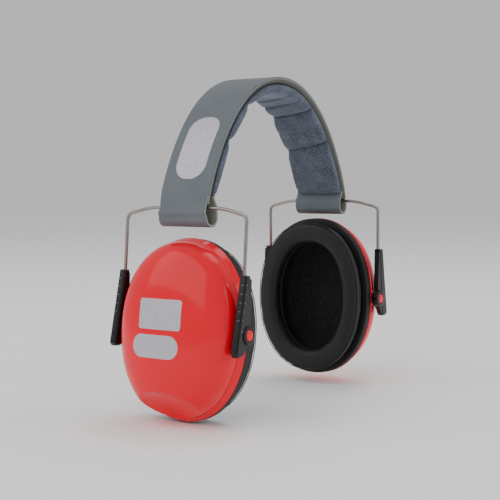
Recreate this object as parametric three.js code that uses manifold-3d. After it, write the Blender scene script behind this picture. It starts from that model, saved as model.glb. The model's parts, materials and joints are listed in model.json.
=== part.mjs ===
// Folding over-the-head earmuffs, in millimetres, +Z up.
// The origin is where the crown pad rests on the head. X runs from ear to ear, -Y is the front.
import * as THREE from 'three';
import { mergeVertices } from 'three/addons/utils/BufferGeometryUtils.js';
import Module from 'manifold-3d';

const wasm = await Module();
wasm.setup();

// Driving dimensions

const CLEAR = 0.3; // gap kept between neighbouring pieces
const OVERRUN = 2; // how far a cutting shape runs past what it cuts

// Headband: a flat arch seen from the front, with a loop of cover material below each end.
const BAND_HALF_SPAN = 80.8;
const BAND_HEIGHT = 77.8; // from the crossbars to the top of the arch
const BAND_WIDTH = 34;
const CROWN_HANDLE = 0.58; // curve handle at the crown, as a share of the half span
const FLANK_HANDLE = 0.375; // curve handle at the ends, as a share of the height
const END_LEAN = 8.2; // how far the end handle leans inward
const COVER_SKIN = 0.8;
const SLEEVE_SLACK = 0.55; // between the spring strip and the sleeve's inner skin
const COVER_SEAM = 2; // side wall of the sleeve
const COVER_EDGE = 1.2; // rounding of the sleeve's long edges
const LOOP_SKIN = 1.2;
const LOOP_RADIUS = 5.5;
const HEM_RISE = 5.5; // hem of the pad above the crossbar

const PAD_WIDTH = 31;
const PAD_THICKNESS = 7;
const PAD_HEM_THICKNESS = 4.2;
const PAD_TAPER = 0.16; // share of the half arch over which the pad thins to its hem
const PAD_EDGE = 2;

const SPRING_WIDTH = 24;
const SPRING_THICKNESS = 0.9;
const FILLER_WIDTH = 28;
const FILLER_RISE = 18; // lower end of the filler above the crossbar

// Hinge brackets at the ends of the spring strip, each curled round a crossbar.
const BRACKET_WIDTH = 22;
const BRACKET_WALL = 0.8;
const BRACKET_RISE = 15;
const RIVET_RADIUS = 1.2;
const RIVET_SPACING = 13;
const RIVET_RISE = 10;

// Wire bails.
const WIRE_DIAMETER = 2;
const CROSSBAR_SPARE = 8.8; // straight crossbar beyond each edge of the band
const SHOULDER_DROP = 4.15;
const LEG_GAP = 1; // from a cup's widest point to the middle of a leg
const SHOULDER_BEND = 7; // distance from a bend's corner to where its arc starts
const LEG_BEND = 3.4;

// Sliders: tapered tubes on the legs, each with an ear for the cup's pin.
const TUBE_GRIP = 7.1; // of the wire left inside the tube when it is pulled right down
const TUBE_BOTTOM = 12; // below the pin
const TUBE_WALL = 0.4; // over the wire's channel, on the cup's side
const TUBE_FRONT = 3; // from the leg away from the cup
const TUBE_TOP_BACK = 2.6; // from the leg towards the head, at the top
const TUBE_TOP_REACH = 2.1; // outward from the leg, at the top
const TUBE_BOTTOM_REACH = 8.4;
const TUBE_BOTTOM_DEPTH = 7.4; // side-view depth at the bottom
const TUBE_CHAMFER = 0.9;
const TUBE_CORNER = 1.6; // bottom corners in side view
const WIRE_STOP_WALL = 0.7; // from the boss space to the closed end of the wire's channel
const TRAVEL = 20; // how far the sliders come down the legs
const LOOP_GAP = 0.75; // from the longest loop to a cup pushed all the way up
const EAR_RADIUS = 5.4;
const EAR_INSIDE = 0.6;
const EAR_FRONT = 3.9;
const WEB_REACH = 4.6;
const PIN_OFFSET = 2.56; // the pin sits this far from the leg, towards the head
const PIN_RADIUS = 1.8;
const PIN_HEAD_RADIUS = 3.15;
const PIN_HEAD_HEIGHT = 1.4;
const PIN_HEAD_FLAT = 0.75; // flat of the head, as a share of its radius
const PIN_LENGTH = 8;

// Cups: oval shells with a flat rim.
const CUP_HALF_WIDTH = 41.2;
const CUP_HALF_HEIGHT = 52.4;
const CUP_POWER = 2.14; // superellipse power of the outline
const CUP_WALL = 2.4;
const RIM_OFFSET = 4.8; // rim plane, from the pin towards the head
const SIDE_HEIGHT = 5.1;
const SIDE_DRAFT = 2.1;
const DOME_HEIGHT = 21.5;
const DOME_POWER = 2.45;
const DOME_SINK = 3; // how far the dome's pole lies below the pins
const BOSS_WALL = 2; // round the pin's bore
const BOSS_FOOT = 6.6;
const BOSS_DEPTH = 5; // inside the wall
const BOSS_STAND = 7.1; // outside the wall, at the foot
const SCOOP_RADIUS = 38;
const SCOOP_WIDENING = 1.5;
const SCOOP_OUT = 32; // centre of the scoop beyond the crease
const SCOOP_DOWN = 70; // centre of the scoop below the pin

const PLATE_THICKNESS = 4.7;
const PLATE_INSET = 0.2;
const PLATE_GAP = 0.4; // between the rim and the backplate
const PLATE_EDGE = 0.8;
const HOLE_INSET = 15.5; // ear opening, from the cup's outline
const SKIRT_HEIGHT = 3.5;
const SKIRT_WALL = 1.6;
const SKIRT_SPARE = 1.9; // between the skirt's ends and a boss
const RING_THICKNESS = 1.2;
const RING_INSET = 5;
const CUSHION_THICKNESS = 8.4;
const CUSHION_INSET = 1.9;
const CUSHION_ROUND = 3;
const CUSHION_CHAMFER = 1;
const LINER_THICKNESS = 6;

// How each side sits: splay swings the bail outward, cupLean tilts the cup on its pins, extension
// lowers the sliders, and loopDrop is how far the cover's loop hangs below the crossbar.
const SIDES = [
  { name: 'left', sign: -1, splay: 5.6, extension: 5, cupLean: 0, loopDrop: 11 },
  { name: 'right', sign: 1, splay: -0.5, extension: 0, cupLean: -1.5, loopDrop: 8.8 },
];

// Sizes that follow

const BRACKET_DEPTH = COVER_SKIN + 1.5 * CLEAR;
const FILLER_THICKNESS = BRACKET_WALL + CLEAR;
const SPRING_DEPTH = BRACKET_DEPTH + BRACKET_WALL + CLEAR;
const BAND_THICKNESS = SPRING_DEPTH + SPRING_THICKNESS + SLEEVE_SLACK + COVER_SKIN;
const CROWN_TOP = BAND_THICKNESS + CLEAR + PAD_THICKNESS;
const CROSSBAR_LEVEL = CROWN_TOP - BAND_HEIGHT;

const WIRE_BORE = WIRE_DIAMETER / 2 + CLEAR;
const KNUCKLE_RADIUS = WIRE_BORE + BRACKET_WALL;
const CROSSBAR_REACH = BAND_HALF_SPAN - LOOP_SKIN - CLEAR - KNUCKLE_RADIUS;
const CROSSBAR_HALF = BAND_WIDTH / 2 + CROSSBAR_SPARE;
const LEG_HALF_SPACING = CUP_HALF_WIDTH + LEG_GAP;
const TUBE_INSIDE = WIRE_BORE + TUBE_WALL;
const BOSS_RADIUS = PIN_RADIUS + CLEAR + BOSS_WALL;
const WIRE_STOP = BOSS_RADIUS + 2 * CLEAR + WIRE_STOP_WALL;
const LONGEST_LOOP = Math.max(...SIDES.map((side) => side.loopDrop));
const RETRACTED_DROP = CUP_HALF_HEIGHT + LONGEST_LOOP + LOOP_GAP - SHOULDER_DROP;
const LEG_LENGTH = RETRACTED_DROP - WIRE_STOP - CLEAR;
const TUBE_TOP = WIRE_STOP + TRAVEL + TUBE_GRIP;

const PLATE_FACE = -PLATE_GAP - PLATE_THICKNESS;
const RING_FACE = PLATE_FACE - CLEAR - RING_THICKNESS;
const LINER_EDGE = RIM_OFFSET + BOSS_RADIUS + CLEAR;

// Materials

const finish = (color, roughness, metalness = 0) =>
  new THREE.MeshStandardMaterial({ color, roughness, metalness });
const FINISHES = {
  vinyl: () => finish(0x6f757b, 0.55),
  velour: () => finish(0x4b5666, 0.95),
  foam: () => finish(0x17181a, 0.98),
  spring: () => finish(0x8d9196, 0.35, 0.9),
  wire: () => finish(0xb9b4ae, 0.28, 0.95),
  slider: () => finish(0x18191b, 0.35),
  shell: () => finish(0xe3202e, 0.15),
  plate: () => finish(0x2a2b2e, 0.45),
  cushion: () => finish(0x2b2b2e, 0.5),
};

// Solids

/** A closed mesh with merged corners and outward faces, as vertex and index arrays. */
function closedArrays(geometry) {
  const bare = geometry.clone();
  bare.deleteAttribute('normal');
  bare.deleteAttribute('uv');
  const merged = mergeVertices(bare, 1e-4);
  const points = merged.getAttribute('position').array;
  const index = merged.getIndex().array;
  const faces = [];
  let volume = 0;
  for (let i = 0; i < index.length; i += 3) {
    const [a, b, c] = index.slice(i, i + 3);
    if (a === b || b === c || c === a) continue;
    faces.push([a, b, c]);
    const [pa, pb, pc] = [a, b, c].map((k) => new THREE.Vector3().fromArray(points, 3 * k));
    volume += pa.dot(pb.cross(pc));
  }
  const outward = volume < 0 ? faces.map(([a, b, c]) => [a, c, b]) : faces;
  return { points, index: new Uint32Array(outward.flat()) };
}

/** A geometry as a manifold solid. */
function solid(geometry) {
  const { points, index } = closedArrays(geometry);
  const mesh = new wasm.Mesh({
    numProp: 3,
    vertProperties: new Float32Array(points),
    triVerts: index,
  });
  return new wasm.Manifold(mesh);
}

/** A manifold solid as a geometry. */
function geometryOf(body) {
  const { vertProperties, triVerts } = body.getMesh();
  const geometry = new THREE.BufferGeometry();
  geometry.setAttribute('position', new THREE.BufferAttribute(vertProperties, 3));
  geometry.setIndex(new THREE.BufferAttribute(triVerts, 1));
  geometry.computeVertexNormals();
  return geometry;
}

const joined = (first, ...others) => others.reduce((all, next) => all.add(next), first);
const cut = (first, ...others) => others.reduce((all, next) => all.subtract(next), first);

/** A named piece from a manifold solid. */
function piece(name, body, material) {
  const mesh = new THREE.Mesh(geometryOf(body), material);
  mesh.name = name;
  return mesh;
}

/** A front-view outline (x across, y up) made a slab of the given width along Y. */
function slab(shape, width, edge = 0, steps = 1) {
  const geometry = new THREE.ExtrudeGeometry(shape, {
    depth: width - 2 * edge,
    bevelEnabled: edge > 0,
    bevelThickness: edge,
    bevelSize: edge,
    bevelOffset: -edge,
    bevelSegments: steps,
    curveSegments: 10,
  });
  geometry.translate(0, 0, edge - width / 2);
  geometry.rotateX(Math.PI / 2);
  return geometry;
}

/** A round bar along Y from one place to another. */
function barAlongY(radius, from, to, { x = 0, z = 0, sides = 16, foot = radius } = {}) {
  const geometry = new THREE.CylinderGeometry(radius, foot, Math.abs(to - from), sides);
  if (to < from) geometry.rotateX(Math.PI);
  geometry.translate(x, (from + to) / 2, z);
  return geometry;
}

/** A box given by its lowest and highest corners. */
function boxBetween(low, high) {
  const size = high.map((value, axis) => value - low[axis]);
  const geometry = new THREE.BoxGeometry(...size);
  geometry.translate(...low.map((value, axis) => value + size[axis] / 2));
  return geometry;
}

// Headband

const halfArch = new THREE.CubicBezierCurve(
  new THREE.Vector2(0, CROWN_TOP),
  new THREE.Vector2(BAND_HALF_SPAN * CROWN_HANDLE, CROWN_TOP),
  new THREE.Vector2(BAND_HALF_SPAN - END_LEAN, CROSSBAR_LEVEL + BAND_HEIGHT * FLANK_HANDLE),
  new THREE.Vector2(BAND_HALF_SPAN, CROSSBAR_LEVEL),
);

/** A point of the arch, t from -1 to 1, at a depth below the band's outer face. */
function archPoint(t, depth) {
  const side = t < 0 ? -1 : 1;
  const point = halfArch.getPoint(Math.abs(t));
  const tangent = halfArch.getTangent(Math.abs(t));
  return new THREE.Vector2(side * (point.x + tangent.y * depth), point.y - tangent.x * depth);
}

/** The curve parameter at which the arch at a depth comes down to a level. */
function archParameter(level, depth) {
  let low = 0;
  let high = 1;
  for (let i = 0; i < 40; i += 1) {
    const middle = (low + high) / 2;
    if (archPoint(middle, depth).y > level) low = middle;
    else high = middle;
  }
  return low;
}

/** The outline of a layer of the arch between two depths, down to a level. */
function archLayer(outerDepth, innerDepthAt, level, count = 26) {
  const innerEnd = innerDepthAt(1);
  const outerT = archParameter(level, outerDepth);
  const innerT = archParameter(level, innerEnd);
  const points = [];
  for (let i = 0; i <= count; i += 1) {
    points.push(archPoint(outerT * ((2 * i) / count - 1), outerDepth));
  }
  for (let i = count; i >= 0; i -= 1) {
    const share = (2 * i) / count - 1;
    points.push(archPoint(innerT * share, innerDepthAt(Math.abs(share))));
  }
  return new THREE.Shape(points);
}

/** The closed loop of cover material around a crossbar, drawn for the right-hand side. */
function loopOutline(drop, inset) {
  const reach = BAND_HALF_SPAN - inset;
  const radius = LOOP_RADIUS - inset;
  const centre = BAND_HALF_SPAN - LOOP_RADIUS;
  const bottom = CROSSBAR_LEVEL - drop + LOOP_RADIUS;
  const top = CROSSBAR_LEVEL + HEM_RISE - CLEAR - inset;
  const outerTop = archPoint(archParameter(top, inset), inset);
  const shape = new THREE.Shape();
  shape.moveTo(outerTop.x, top);
  shape.lineTo(reach, CROSSBAR_LEVEL);
  shape.lineTo(reach, bottom);
  shape.absarc(centre, bottom, radius, 0, -Math.PI, true);
  shape.lineTo(centre - radius, top);
  shape.closePath();
  return shape;
}

/** The loops on both sides of the band, or with an inset the space inside them. */
function loops(inset, width, edge) {
  return SIDES.map(({ sign, loopDrop }) => {
    const geometry = slab(loopOutline(loopDrop, inset), width, edge);
    return solid(sign < 0 ? geometry.rotateZ(Math.PI) : geometry);
  });
}

function headbandCover() {
  const foot = CROSSBAR_LEVEL + HEM_RISE - CLEAR - LOOP_SKIN;
  const sleeve = slab(archLayer(0, () => BAND_THICKNESS, foot), BAND_WIDTH, COVER_EDGE);
  const walls = loops(0, BAND_WIDTH, LOOP_SKIN / 3);
  const insideWidth = BAND_WIDTH - 2 * COVER_SEAM;
  const inside = archLayer(COVER_SKIN, () => BAND_THICKNESS - COVER_SKIN, foot - LOOP_SKIN);
  const eyes = loops(LOOP_SKIN, BAND_WIDTH + 2 * OVERRUN);
  return cut(joined(solid(sleeve), ...walls), solid(slab(inside, insideWidth)), ...eyes);
}

function headbandPad() {
  const seat = BAND_THICKNESS + CLEAR;
  const depthAt = (share) => {
    const rise = THREE.MathUtils.smoothstep(1 - share, 0, PAD_TAPER);
    return seat + THREE.MathUtils.lerp(PAD_HEM_THICKNESS, PAD_THICKNESS, rise);
  };
  return solid(slab(archLayer(seat, depthAt, CROSSBAR_LEVEL + HEM_RISE), PAD_WIDTH, PAD_EDGE));
}

/** Rivet holes or rivets: bars square to the spring strip at one end of the band. */
function rivetBars(sign, radius, fromDepth, toDepth) {
  const t = archParameter(CROSSBAR_LEVEL + RIVET_RISE, SPRING_DEPTH);
  const outer = archPoint(t, fromDepth);
  const inner = archPoint(t, toDepth);
  const lean = Math.atan2(outer.y - inner.y, outer.x - inner.x);
  return [-1, 1].map((end) => {
    const geometry = new THREE.CylinderGeometry(radius, radius, toDepth - fromDepth, 12);
    geometry.rotateZ(lean - Math.PI / 2);
    geometry.rotateX(Math.PI / 2);
    const middle = outer.clone().add(inner).multiplyScalar(0.5);
    geometry.translate(middle.x, (end * RIVET_SPACING) / 2, middle.y);
    return sign < 0 ? geometry.rotateZ(Math.PI) : geometry;
  });
}

function headbandSpring() {
  const level = CROSSBAR_LEVEL + KNUCKLE_RADIUS + 2 * CLEAR;
  const layer = archLayer(SPRING_DEPTH, () => SPRING_DEPTH + SPRING_THICKNESS, level);
  const strip = solid(slab(layer, SPRING_WIDTH));
  const reach = SPRING_THICKNESS + OVERRUN;
  const holes = [-1, 1].flatMap((sign) =>
    rivetBars(sign, RIVET_RADIUS + CLEAR, SPRING_DEPTH - OVERRUN, SPRING_DEPTH + reach),
  );
  return cut(strip, ...holes.map(solid));
}

function coverFiller() {
  const depth = COVER_SKIN + CLEAR;
  const layer = archLayer(depth, () => depth + FILLER_THICKNESS, CROSSBAR_LEVEL + FILLER_RISE);
  return solid(slab(layer, FILLER_WIDTH));
}

/** The tab of a hinge bracket: a short layer of the arch above the crossbar. */
function bracketTab(count = 6) {
  const from = archParameter(CROSSBAR_LEVEL, BRACKET_DEPTH);
  const to = archParameter(CROSSBAR_LEVEL + BRACKET_RISE, BRACKET_DEPTH);
  const along = (depth) =>
    Array.from({ length: count + 1 }, (_, i) =>
      archPoint(THREE.MathUtils.lerp(from, to, i / count), depth),
    );
  const outer = along(BRACKET_DEPTH);
  const inner = along(BRACKET_DEPTH + BRACKET_WALL).reverse();
  return new THREE.Shape([...outer, ...inner]);
}

function hingeBracket(sign) {
  const half = BRACKET_WIDTH / 2;
  const knuckleAt = { x: CROSSBAR_REACH, z: CROSSBAR_LEVEL };
  const tab = slab(bracketTab(), BRACKET_WIDTH);
  const knuckle = barAlongY(KNUCKLE_RADIUS, -half, half, knuckleAt);
  const bore = barAlongY(WIRE_BORE, -half - OVERRUN, half + OVERRUN, knuckleAt);
  if (sign < 0) [tab, knuckle, bore].forEach((part) => part.rotateZ(Math.PI));
  const reach = BRACKET_DEPTH + BRACKET_WALL + OVERRUN;
  const holes = rivetBars(sign, RIVET_RADIUS + CLEAR, BRACKET_DEPTH - OVERRUN, reach);
  return cut(joined(solid(tab), solid(knuckle)), solid(bore), ...holes.map(solid));
}

function addHeadband(parent) {
  parent.add(piece('headband_cover', headbandCover(), FINISHES.vinyl()));
  parent.add(piece('headband_pad', headbandPad(), FINISHES.velour()));
  parent.add(piece('headband_filler', coverFiller(), FINISHES.foam()));
  parent.add(piece('headband_spring', headbandSpring(), FINISHES.spring()));
  const lastDepth = BAND_THICKNESS - COVER_SKIN - CLEAR / 2;
  for (const side of SIDES) {
    parent.add(piece(`${side.name}_hinge_bracket`, hingeBracket(side.sign), FINISHES.spring()));
    const rivets = rivetBars(side.sign, RIVET_RADIUS, COVER_SKIN + CLEAR / 2, lastDepth);
    rivets.forEach((geometry, i) => {
      const name = `${side.name}_bracket_rivet_${i + 1}`;
      parent.add(piece(name, solid(geometry), FINISHES.spring()));
    });
  }
}

// Wire bails. A side's own frame has x outward from the head, and its origin on the crossbar.

/** A path through stations that sit exactly at the steps of an extrusion. */
class StationPath extends THREE.Curve {
  constructor(stations) {
    super();
    this.stations = stations;
  }

  getPoint(t) {
    const place = t * (this.stations.length - 1);
    const low = Math.min(Math.floor(place), this.stations.length - 2);
    return this.stations[low].clone().lerp(this.stations[low + 1], place - low);
  }

  getPointAt(u) {
    return this.getPoint(u);
  }

  getTangentAt(u) {
    const last = this.stations.length - 1;
    const at = Math.round(u * last);
    const ways = [Math.max(at - 1, 0), Math.min(at, last - 1)].map((low) =>
      this.stations[low + 1].clone().sub(this.stations[low]).normalize(),
    );
    return ways[0].add(ways[1]).normalize();
  }
}

/** The stations of a rounded bend between three corners. */
function bend(before, corner, after, reach, count) {
  const start = corner.clone().add(before.clone().sub(corner).setLength(reach));
  const end = corner.clone().add(after.clone().sub(corner).setLength(reach));
  return new THREE.QuadraticBezierCurve3(start, corner, end).getPoints(count);
}

function wireBail() {
  const foot = (end) => new THREE.Vector3(0, end * LEG_HALF_SPACING, -SHOULDER_DROP - LEG_LENGTH);
  const leg = (end) => new THREE.Vector3(0, end * LEG_HALF_SPACING, -SHOULDER_DROP);
  const shoulder = (end) => new THREE.Vector3(0, end * CROSSBAR_HALF, 0);
  const stations = [
    foot(-1),
    ...bend(foot(-1), leg(-1), shoulder(-1), LEG_BEND, 6),
    ...bend(leg(-1), shoulder(-1), shoulder(1), SHOULDER_BEND, 4),
    ...bend(shoulder(-1), shoulder(1), leg(1), SHOULDER_BEND, 4),
    ...bend(shoulder(1), leg(1), foot(1), LEG_BEND, 6),
    foot(1),
  ];
  const section = new THREE.Shape().absarc(0, 0, WIRE_DIAMETER / 2, 0, 2 * Math.PI);
  const geometry = new THREE.ExtrudeGeometry(section, {
    extrudePath: new StationPath(stations),
    steps: stations.length - 1,
    curveSegments: 8,
    bevelEnabled: false,
  });
  return solid(geometry);
}

// Sliders. The origin is level with the pins, midway between the legs, x outward.

/** Side view of the tube: it leans and widens outward from its top to its bottom. */
function tubeOutline() {
  const back = TUBE_BOTTOM_REACH - TUBE_BOTTOM_DEPTH;
  return new THREE.Shape([
    new THREE.Vector2(-TUBE_TOP_BACK, TUBE_TOP),
    new THREE.Vector2(back, -TUBE_BOTTOM + TUBE_CORNER),
    new THREE.Vector2(back + TUBE_CORNER, -TUBE_BOTTOM),
    new THREE.Vector2(TUBE_BOTTOM_REACH - TUBE_CORNER, -TUBE_BOTTOM),
    new THREE.Vector2(TUBE_BOTTOM_REACH, -TUBE_BOTTOM + TUBE_CORNER),
    new THREE.Vector2(TUBE_TOP_REACH, TUBE_TOP),
  ]);
}

/** Side view of the web that joins the tube to its ear. */
function webOutline() {
  const top = TUBE_TOP - 2 * TUBE_CHAMFER;
  const back = TUBE_BOTTOM_REACH - TUBE_BOTTOM_DEPTH;
  const foot = TUBE_BOTTOM - TUBE_CORNER;
  return new THREE.Shape([
    new THREE.Vector2(0, top),
    new THREE.Vector2(-TUBE_TOP_BACK - TUBE_CHAMFER, top),
    new THREE.Vector2(-WEB_REACH, EAR_RADIUS),
    new THREE.Vector2(-PIN_OFFSET - EAR_RADIUS, 0),
    new THREE.Vector2(back, -foot),
    new THREE.Vector2(back + TUBE_BOTTOM_DEPTH / 2, -foot),
  ]);
}

/** A slider at the leg on one end of the bail: end is 1 or -1 along Y. */
function slider(end) {
  const leg = end * LEG_HALF_SPACING;
  const at = (offset) => leg + end * offset;
  const pinAt = { x: -PIN_OFFSET };
  const shifted = (geometry, middle) => geometry.translate(0, at(middle), 0);
  const tubeWidth = TUBE_INSIDE + TUBE_FRONT;
  const tubeMiddle = (TUBE_FRONT - TUBE_INSIDE) / 2;
  const tube = shifted(slab(tubeOutline(), tubeWidth, TUBE_CHAMFER), tubeMiddle);
  const webWidth = TUBE_FRONT + EAR_INSIDE - CLEAR;
  const web = shifted(slab(webOutline(), webWidth, CLEAR), webWidth / 2 - EAR_INSIDE);
  const ear = barAlongY(EAR_RADIUS, at(-EAR_INSIDE), at(EAR_FRONT), { ...pinAt, sides: 24 });
  const body = joined(solid(tube), solid(web), solid(ear));

  const depth = TUBE_TOP - WIRE_STOP + OVERRUN;
  const channel = new THREE.CylinderGeometry(WIRE_BORE, WIRE_BORE, depth, 12);
  channel.rotateX(Math.PI / 2);
  channel.translate(0, leg, (TUBE_TOP + WIRE_STOP + OVERRUN) / 2);
  const eye = barAlongY(PIN_RADIUS + CLEAR, at(-EAR_INSIDE - OVERRUN), at(EAR_FRONT), pinAt);
  const headFloor = EAR_FRONT + CLEAR - PIN_HEAD_HEIGHT;
  const headSeat = barAlongY(
    PIN_HEAD_RADIUS + CLEAR,
    at(headFloor - CLEAR),
    at(EAR_FRONT + OVERRUN),
    pinAt,
  );
  const bossSpace = barAlongY(
    BOSS_RADIUS + 2 * CLEAR,
    at(-TUBE_INSIDE - OVERRUN),
    at(-EAR_INSIDE),
    pinAt,
  );
  return cut(body, solid(channel), solid(eye), solid(headSeat), solid(bossSpace));
}

// Cups. The origin is on the pins' axis, midway between the pins, x outward.

/** A point of the cup's oval, an inset in from its outline. */
function ovalPoint(angle, inset) {
  const share = inset / CUP_HALF_WIDTH;
  const slimming = 1 + (CUP_HALF_HEIGHT / CUP_HALF_WIDTH - 1) * share * share;
  const width = CUP_HALF_WIDTH - inset;
  const height = CUP_HALF_HEIGHT - inset * slimming;
  const stretch = (value) => Math.sign(value) * Math.abs(value) ** (2 / CUP_POWER);
  return [width * stretch(Math.cos(angle)), height * stretch(Math.sin(angle))];
}

/** A closed oval ring or dome from a profile of [inset, height outward from the rim]. */
function ovalLathe(profile, segments = 32) {
  const points = profile.map(
    ([inset, height]) => new THREE.Vector2(CUP_HALF_WIDTH - inset, height),
  );
  const geometry = new THREE.LatheGeometry(points, segments);
  const position = geometry.getAttribute('position');
  for (let i = 0; i < position.count; i += 1) {
    const [a, outward, b] = [position.getX(i), position.getY(i), position.getZ(i)];
    const [y, z] = ovalPoint(Math.atan2(b, a), CUP_HALF_WIDTH - Math.hypot(a, b));
    const rise = Math.max(outward - SIDE_HEIGHT, 0) / DOME_HEIGHT;
    position.setXYZ(i, outward - RIM_OFFSET, y, z - DOME_SINK * rise * rise);
  }
  return geometry;
}

/** The dome's profile, inset evenly by a wall, from its foot to its pole. */
function domeProfile(wall, foot, count = 7) {
  const start = SIDE_DRAFT + wall;
  const profile = foot < 0 ? [[wall, foot], [wall, 0]] : [[wall, 0]];
  for (let i = 0; i <= count; i += 1) {
    const angle = (i / count) * (Math.PI / 2);
    const along = i === count ? 0 : Math.cos(angle) ** (2 / DOME_POWER);
    const rise = (DOME_HEIGHT - wall) * Math.sin(angle) ** (2 / DOME_POWER);
    profile.push([CUP_HALF_WIDTH - (CUP_HALF_WIDTH - start) * along, SIDE_HEIGHT + rise]);
  }
  return profile;
}

/** The ball whose cut leaves the scoop under the dome, grown by a wall for the inside. */
function scoopBall(wall) {
  const geometry = new THREE.SphereGeometry(SCOOP_RADIUS + wall, 28, 16);
  geometry.scale(1, SCOOP_WIDENING, 1);
  geometry.translate(SCOOP_OUT + SIDE_HEIGHT - RIM_OFFSET, 0, -SCOOP_DOWN);
  return solid(geometry);
}

/** A solid dome with its scoop, closed by a flat foot below or at the rim. */
function domeBody(wall, foot) {
  const base = [[CUP_HALF_WIDTH, foot], ...domeProfile(wall, foot)];
  return solid(ovalLathe(base)).subtract(scoopBall(wall));
}

function cupShell() {
  const skinTop = LEG_HALF_SPACING - EAR_INSIDE - CLEAR;
  const inside = CUP_HALF_WIDTH - SIDE_DRAFT - CUP_WALL - BOSS_DEPTH;
  const belowRim = solid(
    boxBetween(
      [-RIM_OFFSET - BOSS_FOOT - OVERRUN, -2 * skinTop, -2 * BOSS_FOOT],
      [-RIM_OFFSET, 2 * skinTop, 2 * BOSS_FOOT],
    ),
  );
  let shell = cut(domeBody(0, 0), domeBody(CUP_WALL, -OVERRUN));
  for (const end of [-1, 1]) {
    const outerBoss = barAlongY(BOSS_RADIUS, end * (skinTop - BOSS_STAND), end * skinTop, {
      foot: BOSS_FOOT,
      sides: 24,
    });
    const innerBoss = barAlongY(BOSS_RADIUS, end * inside, end * (skinTop - CUP_WALL));
    const cavity = solid(boxBetween(...cavityGuard(end, inside)));
    const boss = joined(cut(solid(outerBoss), cavity), solid(innerBoss)).subtract(belowRim);
    shell = shell.add(boss);
  }
  for (const end of [-1, 1]) {
    const deep = end * (skinTop + CLEAR - PIN_LENGTH);
    shell = shell.subtract(solid(barAlongY(PIN_RADIUS + CLEAR, deep, end * (skinTop + OVERRUN))));
  }
  return shell;
}

/** The space inside the shell that a boss's wide foot stays out of. */
function cavityGuard(end, inside) {
  const wallInside = CUP_HALF_WIDTH - SIDE_DRAFT - CUP_WALL;
  const ys = [end * (inside - OVERRUN), end * wallInside].sort((a, b) => a - b);
  return [
    [-2 * BOSS_FOOT, ys[0], -2 * BOSS_FOOT],
    [2 * BOSS_FOOT, ys[1], 2 * BOSS_FOOT],
  ];
}

function backplate() {
  const top = -PLATE_GAP;
  const bottom = PLATE_FACE;
  const plate = ovalLathe([
    [HOLE_INSET, top],
    [HOLE_INSET, bottom],
    [PLATE_INSET + PLATE_EDGE, bottom],
    [PLATE_INSET, bottom + PLATE_EDGE],
    [PLATE_INSET, top],
    [HOLE_INSET, top],
  ]);
  const skirtOuter = CUP_WALL + CLEAR;
  const lean = (SIDE_DRAFT * SKIRT_HEIGHT) / SIDE_HEIGHT;
  const skirt = ovalLathe([
    [skirtOuter + lean + SKIRT_WALL, top + SKIRT_HEIGHT],
    [skirtOuter + SKIRT_WALL, top - PLATE_EDGE],
    [skirtOuter, top - PLATE_EDGE],
    [skirtOuter, top],
    [skirtOuter + lean, top + SKIRT_HEIGHT],
    [skirtOuter + lean + SKIRT_WALL, top + SKIRT_HEIGHT],
  ]);
  const notchHalf = BOSS_RADIUS + SKIRT_SPARE;
  const notch = boxBetween(
    [top - RIM_OFFSET, -CUP_HALF_WIDTH - OVERRUN, -notchHalf],
    [top - RIM_OFFSET + SKIRT_HEIGHT + OVERRUN, CUP_HALF_WIDTH + OVERRUN, notchHalf],
  );
  return joined(solid(plate), cut(solid(skirt), solid(notch)));
}

function cushionRing() {
  const top = PLATE_FACE - CLEAR;
  return solid(
    ovalLathe([
      [HOLE_INSET, top],
      [HOLE_INSET, RING_FACE],
      [RING_INSET, RING_FACE],
      [RING_INSET, top],
      [HOLE_INSET, top],
    ]),
  );
}

function cushion() {
  const top = RING_FACE - CLEAR;
  const face = top - CUSHION_THICKNESS;
  const round = (count, insetAt, heightAt) =>
    Array.from({ length: count + 1 }, (_, i) => {
      const angle = (i / count) * (Math.PI / 2);
      return [insetAt(angle), heightAt(angle)];
    });
  const outer = round(
    4,
    (angle) => CUSHION_INSET + CUSHION_ROUND * (1 - Math.cos(angle)),
    (angle) => face + CUSHION_ROUND * (1 - Math.sin(angle)),
  );
  const inner = round(
    3,
    (angle) => HOLE_INSET - CUSHION_ROUND * (1 - Math.sin(angle)),
    (angle) => face + CUSHION_ROUND * (1 - Math.cos(angle)),
  );
  return solid(
    ovalLathe([
      [HOLE_INSET, top],
      [CUSHION_INSET + CUSHION_CHAMFER, top],
      [CUSHION_INSET, top - CUSHION_CHAMFER],
      ...outer,
      ...inner,
      [HOLE_INSET, top],
    ]),
  );
}

function foamLiner() {
  const outer = CUP_WALL + 2 * CLEAR;
  const whole = domeBody(outer, 0);
  const hollow = domeBody(outer + LINER_THICKNESS, -OVERRUN);
  const size = 2 * CUP_HALF_HEIGHT;
  const below = boxBetween([-size, -size, -size], [LINER_EDGE - RIM_OFFSET, size, size]);
  return cut(whole, hollow, solid(below));
}

/** A pivot pin: a low domed head outside the ear and a shank into the shell's boss. */
function pivotPin(end) {
  const face = LEG_HALF_SPACING + EAR_FRONT + CLEAR;
  const seat = face - PIN_HEAD_HEIGHT;
  const tip = LEG_HALF_SPACING - EAR_INSIDE + CLEAR - PIN_LENGTH;
  const geometry = new THREE.LatheGeometry(
    [
      new THREE.Vector2(0, tip),
      new THREE.Vector2(PIN_RADIUS - CLEAR, tip),
      new THREE.Vector2(PIN_RADIUS, tip + CLEAR),
      new THREE.Vector2(PIN_RADIUS, seat),
      new THREE.Vector2(PIN_HEAD_RADIUS, seat),
      new THREE.Vector2(PIN_HEAD_RADIUS, face - CLEAR),
      new THREE.Vector2(PIN_HEAD_RADIUS * PIN_HEAD_FLAT, face),
      new THREE.Vector2(0, face),
    ],
    16,
  );
  if (end < 0) geometry.rotateX(Math.PI);
  return solid(geometry);
}

// Assembly

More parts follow.
